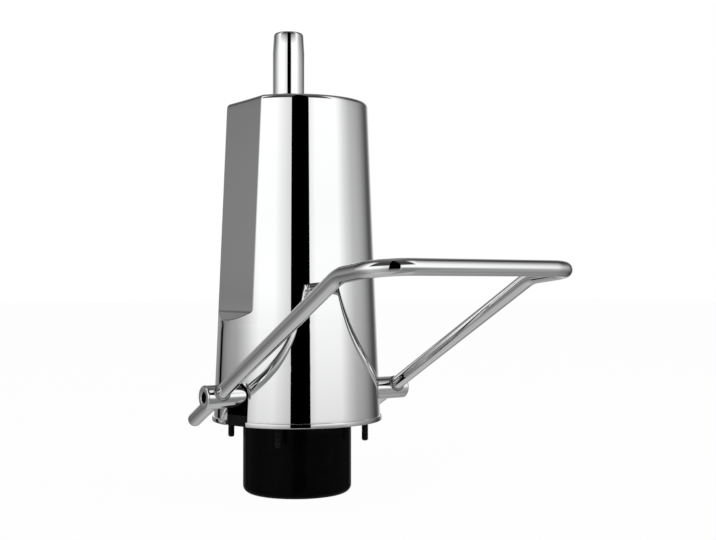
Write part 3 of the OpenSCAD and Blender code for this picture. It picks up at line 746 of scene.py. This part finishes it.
    def slot_tool(self) -> Object:
        """Makes the arch-shaped bar that cuts both axle slots.

        Returns:
            The bar.
        """
        arch = [(AXLE_Y - self.slot_r, self.slot_foot)]
        arch += [(AXLE_Y - self.slot_r * math.cos(a), AXLE_Z + self.slot_r * math.sin(a))
                 for a in np.linspace(0, math.pi, self.slot_steps)]
        arch += [(AXLE_Y + self.slot_r, self.slot_foot)]
        n = len(arch)
        points = [(s * self.slot_reach, y, z) for s in (-1, 1) for y, z in arch]
        faces = [(k, (k + 1) % n, n + (k + 1) % n, n + k) for k in range(n)]
        faces += [tuple(range(n - 1, -1, -1)), tuple(range(n, 2 * n))]
        return finish_mesh(new_mesh("slot_tool", points, faces))


@dataclass
class PedalLoop:
    """The bent pedal bar: two stubs, two arms and the outer end, in one round bar."""

    bar_r: float = 6 * MM
    arm_x: float = 87 * MM
    rise: float = math.radians(27.5)
    arm_len: float = 214 * MM
    stub_len: float = 54 * MM
    tread_rise: float = math.radians(5.8)
    tread_len: float = 53 * MM
    bend_r: float = 40 * MM
    corner_r: float = 25 * MM
    tip_r: float = 4.6 * MM
    weld_r: float = 1.7 * MM
    weld_core: float = 0.86
    weld_pitch: float = 0.62
    core_sides: int = 10
    blob_level: int = 2
    axle: Point = (0.0, AXLE_Y, AXLE_Z)
    axle_r: float = 10 * MM
    straight_step: float = 8 * MM
    bend_step: float = 1.2 * MM
    tip_rings: int = 9
    sides: int = 56
    weld_points: int = 64

    def heading(self, rise: float) -> np.ndarray:
        """Unit direction that leads outwards at a rise."""
        return np.array([0, -math.cos(rise), math.sin(rise)])

    def corner_path(self, points: Sequence[np.ndarray], radii: Sequence[float]) -> np.ndarray:
        """A path through corner points, each rounded by its radius.

        Args:
            points: the path's ends and corners.
            radii: radius at each corner between the ends.

        Returns:
            The points of the smooth path.
        """
        made = [points[0]]
        for before, corner, after, radius in zip(points, points[1:], points[2:], radii):
            a = (before - corner) / np.linalg.norm(before - corner)
            b = (after - corner) / np.linalg.norm(after - corner)
            half = math.acos(float(np.clip(a @ b, -1, 1))) / 2
            reach = radius / math.tan(half)
            centre = corner + (a + b) / np.linalg.norm(a + b) * radius / math.sin(half)
            start, end = corner + a * reach, corner + b * reach
            sweep = math.pi - 2 * half
            count = max(6, math.ceil(radius * sweep / self.bend_step))
            u, v = start - centre, end - centre
            made += self.straight(made[-1], start)
            made += [centre + (u * math.sin((1 - t) * sweep) + v * math.sin(t * sweep))
                     / math.sin(sweep) for t in np.linspace(0, 1, count + 1)[1:]]
        made += self.straight(made[-1], points[-1])
        return np.array(made)

    def straight(self, start: np.ndarray, end: np.ndarray) -> list[np.ndarray]:
        """Evenly spaced points after start up to end."""
        n = max(1, math.ceil(float(np.linalg.norm(end - start)) / self.straight_step))
        return [start + (end - start) * k / n for k in range(1, n + 1)]

    def build(self) -> Object:
        """Builds the bar from the left stub round to the right stub.

        Returns:
            The bar.
        """
        origin = np.array(self.axle)
        arm, tread = self.heading(self.rise), self.heading(self.tread_rise)
        side = np.array([self.arm_x, 0, 0])
        low = origin - arm * self.stub_len
        knee = origin + arm * self.arm_len
        toe = knee + tread * self.tread_len
        corners = [low - side, knee - side, toe - side, toe + side, knee + side, low + side]
        path = self.corner_path(corners, [self.bend_r, self.corner_r, self.corner_r, self.bend_r])
        tip = [(self.tip_r * (1 - math.sin(a)), self.bar_r - self.tip_r * (1 - math.cos(a)))
               for a in np.linspace(math.pi / 2, 0, self.tip_rings)]
        head = [path[0] + arm * s for s, _ in tip]
        tail = [path[-1] + arm * s for s, _ in tip[::-1]]
        ends = [r for _, r in tip]
        radii = [*ends, *[self.bar_r] * (len(path) - 2), *ends[::-1]]
        whole = np.array([*head, *path[1:-1], *tail])
        return swept("pedal_bar", whole, np.array(radii), self.sides)

    def weld_lines(self) -> Object:
        """Draws the four closed lines on which the arms meet the axle.

        Returns:
            A mesh of edges.
        """
        turn = around(self.weld_points)
        arm = self.heading(self.rise)
        flat = self.bar_r * np.cos(turn)[:, None] * np.array([1.0, 0, 0])
        lift = self.bar_r * np.sin(turn)[:, None] * np.cross(arm, (1.0, 0.0, 0.0))
        along = np.sqrt(self.axle_r**2 - (self.bar_r * np.sin(turn)) ** 2)
        points, edges = [], []
        for x in (-self.arm_x, self.arm_x):
            centre = np.array(self.axle) + np.array([x, 0, 0])
            for way in (-1, 1):
                first = len(points)
                points += list(centre + flat + lift + way * along[:, None] * arm)
                edges += [(first + k, first + (k + 1) % len(turn)) for k in range(len(turn))]
        return new_mesh("weld_lines", points, [], edges)

    def build_welds(self, material: Material) -> Object:
        """Lays a rippled weld bead along each line where an arm meets the axle.

        Args:
            material: the beads' finish.

        Returns:
            The beads as one mesh.
        """
        sheet = Pattern("weld_beads", {
            "Bead Radius": self.weld_r, "Core Radius": self.weld_r * self.weld_core,
            "Ripple Step": self.weld_r * self.weld_pitch})
        line = sheet.add("GeometryNodeMeshToCurve", Mesh="Geometry")
        points = sheet.add("GeometryNodeCurveToPoints", "LENGTH", Curve=line, Length="Ripple Step")
        blob = sheet.add("GeometryNodeMeshIcoSphere", Radius="Bead Radius",
                         Subdivisions=self.blob_level)
        ripples = sheet.add("GeometryNodeInstanceOnPoints", Points=points, Instance=blob)
        core = sheet.tube(line, "Core Radius", self.core_sides)
        both = sheet.add("GeometryNodeJoinGeometry", Geometry=[ripples, core])
        return sheet.bake(self.weld_lines(), both, "pedal_welds", material)


@dataclass
class AxleTube:
    """The chromed tube that the pedal turns on."""

    half: float = 100 * MM
    outer_r: float = 10 * MM
    bore_r: float = 4.5 * MM
    edge: float = 1.6 * MM
    lip: float = 0.7 * MM
    skin: float = 0.05 * MM
    sides: int = 96
    bore_sides: int = 64

    def build(self) -> Object:
        """Turns the tube with rounded ends and a broken bore edge.

        Returns:
            The tube.
        """
        right = arc(self.outer_r - self.edge, self.half - self.edge, self.edge, 0, 90, 8)
        right += arc(self.bore_r + self.lip, self.half - self.lip, self.lip, 90, 180, 4)
        left = [(r, -z) for r, z in right[::-1]]
        return turned("axle_sleeve", stacked([*left, *right]), self.place(), self.sides, True)

    def build_bore_shade(self) -> Object:
        """Makes the dark inside of the tube: a black skin over the chrome of its bore, painted
        shade for the deep hole.

        Returns:
            The skin.
        """
        end = self.half - self.lip
        outside, inside = self.bore_r + self.skin, self.bore_r - self.skin
        ring = [(outside, -end), (outside, end), (inside, end), (inside, -end)]
        return turned("axle_bore_shade", ring, self.place(), self.bore_sides, True)

    def place(self) -> Matrix:
        """Turns +Z into the axle's line."""
        return Matrix.Translation((0, AXLE_Y, AXLE_Z)) @ Matrix.Rotation(math.pi / 2, 4, "Y")


@dataclass
class RamRod:
    """The chromed ram with its seat spindle, taper and rounded tip."""

    y: float = 16 * MM
    spigot_r: float = 9 * MM
    spigot_z: float = -36.5 * MM
    shoulder_z: float = -11.8 * MM
    rod_r: float = 14.3 * MM
    spindle_r: float = 14.1 * MM
    spindle_z: float = 287 * MM
    taper_z: float = 325 * MM
    top_z: float = 343 * MM
    top_r: float = 13.2 * MM
    tip_r: float = 2.6 * MM
    centre_r: float = 3 * MM
    centre_h: float = 6 * MM
    centre_lead: float = 1.5 * MM
    drill_h: float = 1.7 * MM
    chamfer: float = 1 * MM
    soft: float = 0.4 * MM
    sides: int = 128

    def build(self) -> Object:
        """Turns the whole rod from its spigot to the centre hole in its tip.

        Returns:
            The rod.
        """
        line: Profile = [
            (0, self.spigot_z), (self.spigot_r - self.chamfer, self.spigot_z),
            (self.spigot_r, self.spigot_z + self.chamfer), (self.spigot_r, self.shoulder_z),
            (self.rod_r - self.chamfer, self.shoulder_z),
            (self.rod_r, self.shoulder_z + self.chamfer),
            (self.rod_r, self.spindle_z - 2 * self.soft), (self.rod_r, self.spindle_z - self.soft),
            (self.spindle_r, self.spindle_z), (self.spindle_r, self.spindle_z + self.soft),
            (self.spindle_r, self.taper_z)]
        line += arc(self.top_r - self.tip_r, self.top_z - self.tip_r, self.tip_r, 2, 90, 12)
        hole_z = self.top_z - self.centre_h
        line += [(self.centre_r + self.centre_lead, self.top_z),
                 (self.centre_r, self.top_z - self.centre_lead),
                 (self.centre_r, hole_z), (0, hole_z - self.drill_h)]
        return turned("ram_rod", stacked(line), Matrix.Translation((0, self.y, 0)), self.sides)


@dataclass
class ReservoirCan:
    """The deep-drawn black can that holds the oil."""

    outer_r: float = 47.5 * MM
    wall: float = 2 * MM
    bottom_z: float = -63 * MM
    top_z: float = -1.5 * MM
    corner_r: float = 6.5 * MM
    recess_r: float = 19 * MM
    recess_h: float = 9 * MM
    drain_r: float = 4.2 * MM
    soft: float = 1.2 * MM
    lip: float = 0.5 * MM
    bevel_w: float = 0.4 * MM
    bevel_h: float = 0.2 * MM
    row_step: float = 9 * MM
    sides: int = 160

    def build(self) -> Object:
        """Turns the can as one closed wall with soft edges at its recess.

        Returns:
            The can.
        """
        inner_r = self.outer_r - self.wall
        floor = self.bottom_z + self.recess_h
        ring = arc(self.outer_r - self.lip, self.top_z - self.lip, self.lip, 90, 0, 4)
        ring += arc(self.outer_r - self.corner_r, self.bottom_z + self.corner_r, self.corner_r,
                    0, -90, 16)
        ring += arc(self.recess_r + self.soft, self.bottom_z + self.soft, self.soft, -90, -180, 6)
        ring += [(self.recess_r, floor - self.bevel_h), (self.recess_r - self.bevel_w, floor),
                 (self.drain_r, floor), (self.drain_r, floor + self.wall),
                 (self.recess_r + self.wall, floor + self.wall),
                 (self.recess_r + self.wall, self.bottom_z + self.wall)]
        small = self.corner_r - self.wall
        ring += arc(inner_r - small, self.bottom_z + self.wall + small, small, -90, 0, 8)
        ring = stacked([*ring, (inner_r, self.top_z)], self.row_step)
        return turned("reservoir_shell", ring, Matrix.Identity(4), self.sides, True)


@dataclass
class CoilSpring:
    """A compression spring with ground, closed ends, wound between two places on its axis."""

    name: str
    joint: str
    wire_r: float
    coil_r: float
    turns: float
    bottom: Vector
    top: Vector
    travel: float
    fixed_top: bool
    closed_turns: float = 1.1
    wire_sides: int = 10
    turn_steps: int = 24

    def build(self, material: Material) -> Object:
        """Winds the spring: a close coil at each end and an open one between.

        Args:
            material: the spring's finish.

        Returns:
            The spring as one mesh.
        """
        axis = self.top - self.bottom
        dead = 2 * self.wire_r * self.closed_turns
        sheet = Pattern(self.name + "_coil", {
            "Wire Radius": self.wire_r, "Coil Radius": self.coil_r, "Turns": self.turns,
            "Closed Turns": self.closed_turns, "Closed Height": dead,
            "Open Height": axis.length - 2 * self.wire_r - 2 * dead})
        base, parts = sheet.size("Wire Radius"), []
        close = ("Closed Turns", "Closed Height")
        for turns, height in (close, ("Turns", "Open Height"), close):
            line = sheet.helix(turns, "Coil Radius", height, self.turn_steps)
            tube = sheet.tube(line, "Wire Radius", self.wire_sides)
            turn = sheet.add("ShaderNodeCombineXYZ", Z=self.start_angle(len(parts)))
            place = sheet.add("ShaderNodeCombineXYZ", Z=base)
            parts.append(sheet.add("GeometryNodeTransform", Geometry=tube, Translation=place,
                                   Rotation=turn))
            base = sheet.plus(base, sheet.size(height))
        coil = sheet.add("GeometryNodeJoinGeometry", Geometry=parts)
        start = new_mesh(self.name + "_start", np.zeros((1, 3)), [])
        piece = sheet.bake(start, coil, self.name, material)
        turn_axis = axis.to_track_quat("Z", "Y").to_matrix().to_4x4()
        piece.data.transform(Matrix.Translation(self.bottom) @ turn_axis)
        return piece

    def start_angle(self, part: int) -> float:
        """Angle at which a stretch of the coil starts, where the one below it ends."""
        return 2 * math.pi * (0, self.closed_turns, self.closed_turns + self.turns)[part]

    def compress(self, piece: Object) -> None:
        """Gives the wound spring its own copy of its mesh.

        Args:
            piece: the wound spring.
        """
        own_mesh(piece)


SPRINGS = (
    CoilSpring("plunger_coil", "plunger_stroke", 0.9 * MM, 8.6 * MM, 3.2,
               Vector((0, -19.5, -18.95)) * MM, Vector((0, -19.5, -3.15)) * MM, 4.9 * MM, False),
    CoilSpring("release_coil", "release_pull", 0.6 * MM, 4.4 * MM, 3.6,
               Vector((21.5, -4.5, -15.95)) * MM, Vector((21.5, -4.5, -4.05)) * MM, 1.5 * MM, True),
    CoilSpring("discharge_coil", "discharge_lift", 0.33 * MM, 2.0 * MM, 2.2,
               Vector((0, -6.66, -38.5)) * MM, Vector((0, -2.15, -38.5)) * MM, 1.2 * MM, True),
)


@dataclass
class FlangeBolts:
    """The four black bolts that hold the pump on the chair's base."""

    spacing: float = 86 * MM
    head_z: float = 10.6 * MM
    head_h: float = 4 * MM
    across: float = 10 * MM
    shank_r: float = 3 * MM
    core_r: float = 2.62 * MM
    thread_top: float = -0.4 * MM
    tip_z: float = -17 * MM
    pitch: float = 1 * MM
    point_w: float = 0.9 * MM
    point_h: float = 1 * MM
    runout: float = 0.3 * MM
    head_edge: float = 0.5 * MM
    thread_short: float = 1.2 * MM
    thread_out: float = 0.1 * MM
    ridge: float = 0.26 * MM
    ridge_sides: int = 4
    turn_steps: int = 20
    sides: int = 36

    def one_bolt(self) -> Object:
        """Turns the shank and adds the chamfered six-sided head.

        Returns:
            One bolt on the Z axis.
        """
        round_r = self.across / 2 / math.cos(math.pi / 6)
        top = self.head_z + self.head_h
        profile = [
            (0, self.tip_z), (self.core_r - self.point_w, self.tip_z),
            (self.core_r, self.tip_z + self.point_h), (self.core_r, self.thread_top),
            (self.shank_r, self.thread_top + self.runout), (self.shank_r, self.head_z),
            (round_r, self.head_z), (round_r, top - self.head_edge),
            (round_r - self.point_w, top), (0, top)]
        turn = around(self.sides)
        flat = self.across / 2 / np.cos((turn + math.pi / 6) % (math.pi / 3) - math.pi / 6)
        rows = []
        for r, z in profile:
            on_head = z >= self.head_z and r > self.shank_r
            rows.append(ring_at(np.minimum(flat, r) if on_head else np.full_like(turn, r), turn, z))
        return skinned("one_bolt", rows, False)

    def build(self, material: Material) -> Object:
        """Winds the thread round the bolt and sets it at the four places.

        Args:
            material: the bolts' finish.

        Returns:
            The four bolts as one mesh.
        """
        length = self.thread_top - self.tip_z - self.thread_short
        sheet = Pattern("bolt_set", {
            "Spacing": self.spacing, "Thread Radius": self.core_r + self.thread_out,
            "Thread Length": length, "Thread Turns": length / self.pitch,
            "Thread Bottom": self.tip_z + self.point_h, "Ridge": self.ridge})
        line = sheet.helix("Thread Turns", "Thread Radius", "Thread Length", self.turn_steps)
        wound = sheet.tube(line, "Ridge", self.ridge_sides)
        drop = sheet.add("ShaderNodeCombineXYZ", Z="Thread Bottom")
        thread = sheet.add("GeometryNodeTransform", Geometry=wound, Translation=drop)
        bolt = sheet.add("GeometryNodeJoinGeometry", Geometry=["Geometry", thread])
        places = sheet.add("GeometryNodeMeshGrid", Size_X="Spacing", Size_Y="Spacing",
                           Vertices_X=2, Vertices_Y=2)
        bolts = sheet.add("GeometryNodeInstanceOnPoints", Points=places, Instance=bolt)
        return sheet.bake(self.one_bolt(), bolts, "bolt_set", material)


def along(stops: Stops, value: float) -> float:
    """Reads the level between stops, which stays the same beyond the first and last."""
    return float(np.interp(value, *zip(*stops)))


@dataclass
class Studio:
    """The pale floor, the soft light and the walls that the chrome mirrors."""

    camera_at: Point = (-0.5118, -0.8918, 0.11665)
    heading: float = 32.83
    pitch: float = 0.81
    lens: float = 58.55
    sensor: float = 36.0
    clip: tuple[float, float] = (0.01, 50)
    floor_z: float = -0.0632
    floor_white: float = 0.97
    floor_grey: float = 0.85
    floor_reach: float = 12.0
    sky: float = 0.55
    wall_glow: float = 1.07
    dome_r: float = 3.0
    dome_step: float = 3.0
    aim_z: float = 0.1
    lamp_size: float = 1.2
    lamps: tuple[tuple[str, Point, float], ...] = (
        ("lamp_left", (-1.6, -0.9, 1.3), 14), ("lamp_right", (1.3, -1.3, 1.5), 10))
    # Levels by azimuth and by elevation, both in degrees. A pair of "sides" and "rise" bounds one
    # patch: the lean of the left wall, the dark back and front of the ceiling, and the rug.
    wall_stops: Stops = (
        (-180, 0.85), (-166, 0.85), (-160, 0.10), (-154, 0.12), (-149, 0.40), (-128, 0.19),
        (-114, 0.22), (-101, 0.37), (-91, 0.42), (-81, 0.54), (-72, 0.67), (-62, 0.86), (-52, 1.0),
        (-30, 1.0), (-20, 0.86), (-6.4, 0.70), (-6.0, 0.0), (20.4, 0.0), (20.8, 0.84), (30, 1.0),
        (66, 1.0), (80, 0.70), (93, 0.51), (108, 0.42), (117, 0.34), (127, 0.21), (137, 0.09),
        (146, 0.09), (156, 0.34), (164, 0.85), (180, 0.85))
    height_stops: Stops = (
        (-90, 0.39), (-70, 0.44), (-62, 0.52), (-55, 0.45), (-45, 0.39), (-30, 0.40), (-15, 0.46),
        (-8, 0.60), (-4, 0.745), (-1, 0.84), (4, 1.0), (45, 1.0), (58, 0.85), (73, 0.66),
        (90, 0.42))
    side_stops: Stops = (
        (-180, 0.85), (-170, 0.85), (-162, 0.36), (-147, 0.36), (-139, 0.24), (-135.5, 0.0),
        (-130, 0.0), (-127, 0.22), (-118, 0.31), (-108, 0.37), (-90, 0.42))
    side_rise: Stops = ((-20, 0), (-10, 1), (-1, 1), (2, 0))
    flag_foot: Stops = ((-34, 0.55), (-14, 0.0))
    wall_share: Stops = ((0, 1), (40, 1), (75, 0))
    lean_sides: Stops = ((-112, 0), (-100, 1), (-60, 1), (-50, 0))
    lean_rise: Stops = ((3, 0), (8, 14))
    back_sides: Stops = ((75, 0), (115, 1))
    back_rise: Stops = ((12, 0), (30, 1))
    front_sides: Stops = ((58, 1), (64, 0))
    front_rise: Stops = ((22, 0), (26, 1))
    ceiling_stops: Stops = ((140, 0.05), (150, 0.22))
    zenith_rise: Stops = ((59, 0), (65, 1))
    zenith_dark: float = 0.10
    rug_sides: Stops = ((15, 0), (30, 1), (67, 1), (76, 0))
    rug_rise: Stops = ((-10, 1), (-5, 0))
    rug_dark: float = 0.5
    dome_rows: tuple[float, ...] = (
        -90, -70, -62, -55, -45, -30, -20, -14, -8, -4, -1, 0, 2, 4, 8, 14, 20, 22, 26, 28, 36,
        44, 50, 56, 62, 68, 74, 80, 86, 90)

    def level(self, azimuth: float, elevation: float) -> float:
        """Brightness of the dome in a direction seen from the object.

        Args:
            azimuth: degrees to the right of the camera.
            elevation: degrees above the horizon.

        Returns:
            Brightness, where 1 is white.
        """
        side = abs(azimuth)
        lean = along(self.lean_sides, azimuth) * along(self.lean_rise, elevation)
        wall = max(along(self.wall_stops, azimuth + lean), along(self.flag_foot, elevation))
        if azimuth < self.side_stops[-1][0]:
            wall += (along(self.side_stops, azimuth) - wall) * along(self.side_rise, elevation)
        share = along(self.wall_share, abs(elevation))
        rug = along(self.rug_sides, azimuth) * along(self.rug_rise, elevation)
        rise = along(self.height_stops, elevation) * (1 - self.rug_dark * rug)
        zenith = along(self.zenith_rise, elevation)
        dark = max(along(self.back_sides, side) * along(self.back_rise, elevation),
                   along(self.front_sides, side) * along(self.front_rise, elevation), zenith)
        ceiling = max(along(self.ceiling_stops, side), self.zenith_dark * zenith)
        return rise * (share * wall + 1 - share) * (1 - dark) + min(ceiling, wall) * dark

    def build(self) -> None:
        """Builds the whole studio."""
        bpy.context.scene.view_settings.view_transform = "Standard"
        self.build_camera()
        self.build_world()
        self.build_floor()
        self.build_dome()
        self.build_lamps()

    def build_camera(self) -> None:
        """Sets the camera at the photograph's place and angle."""
        data = bpy.data.cameras.new("camera")
        data.lens, data.sensor_width = self.lens, self.sensor
        data.clip_start, data.clip_end = self.clip
        obj = add_object("camera", data)
        turn, tilt = math.radians(self.heading), math.radians(self.pitch)
        ahead = (math.sin(turn) * math.cos(tilt), math.cos(turn) * math.cos(tilt), math.sin(tilt))
        obj.location = self.camera_at
        obj.rotation_euler = Vector(ahead).to_track_quat("-Z", "Y").to_euler()
        bpy.context.scene.camera = obj

    def backdrop_share(self, tree: bpy.types.NodeTree) -> Socket:
        """Marks the rays that see the plain white backdrop.

        Args:
            tree: the node tree that asks.

        Returns:
            A socket that is 1 for camera, glossy and transmission rays.
        """
        path = tree.nodes.new("ShaderNodeLightPath")
        total = path.outputs["Is Camera Ray"]
        for other in ("Is Glossy Ray", "Is Transmission Ray"):
            most = tree.nodes.new("ShaderNodeMath")
            most.operation = "MAXIMUM"
            tree.links.new(total, most.inputs[0])
            tree.links.new(path.outputs[other], most.inputs[1])
            total = most.outputs[0]
        return total

    def build_world(self) -> None:
        """A world that is white to look at and lights the object softly."""
        world = bpy.data.worlds.new("studio")
        bpy.context.scene.world = world
        world.use_nodes = True
        tree = world.node_tree
        tree.nodes.clear()
        mix, out = tree.nodes.new("ShaderNodeMixShader"), tree.nodes.new("ShaderNodeOutputWorld")
        tree.links.new(self.backdrop_share(tree), mix.inputs[0])
        for place, strength in ((1, self.sky), (2, 1.0)):
            light = tree.nodes.new("ShaderNodeBackground")
            light.inputs["Color"].default_value = (1, 1, 1, 1)
            light.inputs["Strength"].default_value = strength
            tree.links.new(light.outputs[0], mix.inputs[place])
        tree.links.new(mix.outputs[0], out.inputs["Surface"])

    def build_floor(self) -> None:
        """Lays a pale floor that reads as white but keeps the object's soft shadow."""
        sheet = NodeSheet("floor_paper")
        paint = sheet.add("ShaderNodeBsdfDiffuse", Color=(*[self.floor_grey] * 3, 1))
        glow = sheet.add("ShaderNodeEmission", Strength=1.0)
        mix = sheet.add("ShaderNodeMixShader")
        share = sheet.add("ShaderNodeMath")
        share.operation = "MULTIPLY"
        share.inputs[1].default_value = self.floor_white
        sheet.link(self.backdrop_share(sheet.tree), share.inputs[0])
        sheet.link(share.outputs[0], mix.inputs[0])
        sheet.link(paint.outputs[0], mix.inputs[1])
        sheet.link(glow.outputs[0], mix.inputs[2])
        sheet.link(mix.outputs[0], sheet.output.inputs["Surface"])
        far, z = self.floor_reach, self.floor_z
        corners = [(-far, -far, z), (far, -far, z), (far, far, z), (-far, far, z)]
        floor = new_mesh("studio_floor", corners, [(0, 1, 2, 3)])
        floor.data.materials.append(sheet.material)
        floor.visible_glossy = False

    def build_dome(self) -> None:
        """Raises the walls, flags and ceiling of the studio, which only reflections show."""
        stops = [a for a, _ in (*self.wall_stops[:-1], *self.side_stops)]
        columns = sorted({*np.arange(-180, 180, self.dome_step).tolist(), *stops})
        points, levels = [], []
        for e in self.dome_rows:
            rise = math.radians(e)
            flat, high = self.dome_r * math.cos(rise), self.dome_r * math.sin(rise)
            for a in columns:
                turn = math.radians(self.heading + 180 - a)
                points.append((flat * math.sin(turn), flat * math.cos(turn), self.aim_z + high))
                levels.append(self.level(a, e))
        faces = grid_faces(len(self.dome_rows), len(columns), False)
        dome = new_mesh("studio_walls", points, faces)
        shade = dome.data.attributes.new("level", "FLOAT", "POINT")
        shade.data.foreach_set("value", levels)
        sheet = NodeSheet("studio_wall")
        glow = sheet.add("ShaderNodeEmission", Strength=self.wall_glow)
        read = sheet.add("ShaderNodeAttribute")
        read.attribute_name = "level"
        sheet.link(read.outputs["Fac"], glow.inputs["Color"])
        sheet.link(glow.outputs[0], sheet.output.inputs["Surface"])
        dome.data.materials.append(sheet.material)
        dome.visible_camera = dome.visible_diffuse = dome.visible_shadow = False
        dome.visible_transmission = dome.visible_volume_scatter = False

    def build_lamps(self) -> None:
        """Hangs two broad soft lamps that light the black and cast surfaces."""
        for name, at, power in self.lamps:
            data = bpy.data.lights.new(name, "AREA")
            data.energy, data.size = power, self.lamp_size
            lamp = add_object(name, data)
            aim = Vector((0, 0, self.aim_z)) - Vector(at)
            lamp.location = at
            lamp.rotation_euler = aim.to_track_quat("-Z", "Y").to_euler()
            lamp.visible_glossy = False


def place_piece(shop: Paintshop, obj: Object, finish: Finish, body: Body, *nodes: str) -> None:
    """Finishes a piece: its material, its body and the CAD nodes that it stands for.

    Args:
        shop: where the materials are.
        obj: the piece.
        finish: its finish.
        body: the body it rides on.
        *nodes: CAD nodes that it replaces.
    """
    shop.coat(obj, finish)
    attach(obj, body.value)
    if nodes:
        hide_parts(*nodes)
    log.info("%s: %d faces, rides on %s", obj.name, len(obj.data.polygons), body.value)


def main() -> None:
    """Builds every sub-assembly and the studio in order."""
    logging.basicConfig(level=logging.INFO, format="%(name)s: %(message)s")
    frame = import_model()
    shop = Paintshop(frame["record"])
    shop.dress_nodes(frame["nodes"])
    place_piece(shop, Shroud().build(), Finish.CHROME, Body.BASE, "shroud")
    pedal = PedalLoop()
    place_piece(shop, pedal.build(), Finish.CHROME, Body.PEDAL, "pedal_loop")
    place_piece(shop, pedal.build_welds(shop.materials[Finish.WELD]), Finish.WELD, Body.PEDAL)
    bolts = FlangeBolts().build(shop.materials[Finish.BLACK_STEEL])
    place_piece(shop, bolts, Finish.BLACK_STEEL, Body.BASE, "flange_bolts")
    axle = AxleTube()
    place_piece(shop, axle.build(), Finish.CHROME, Body.PEDAL, "axle_tube")
    # The black skin in the axle's bore is painted shade for the hole, laid over the chrome.
    place_piece(shop, axle.build_bore_shade(), Finish.BLACK_STEEL, Body.PEDAL)
    place_piece(shop, RamRod().build(), Finish.CHROME, Body.RAM, "ram")
    place_piece(shop, ReservoirCan().build(), Finish.ENAMEL, Body.BASE, "reservoir_can")
    for spring in SPRINGS:
        coil = spring.build(shop.materials[Finish.SPRING])
        place_piece(shop, coil, Finish.SPRING, Body.BASE, spring.name.replace("_coil", "_spring"))
        spring.compress(coil)
    Studio().build()


if __name__ == "__main__":
    main()
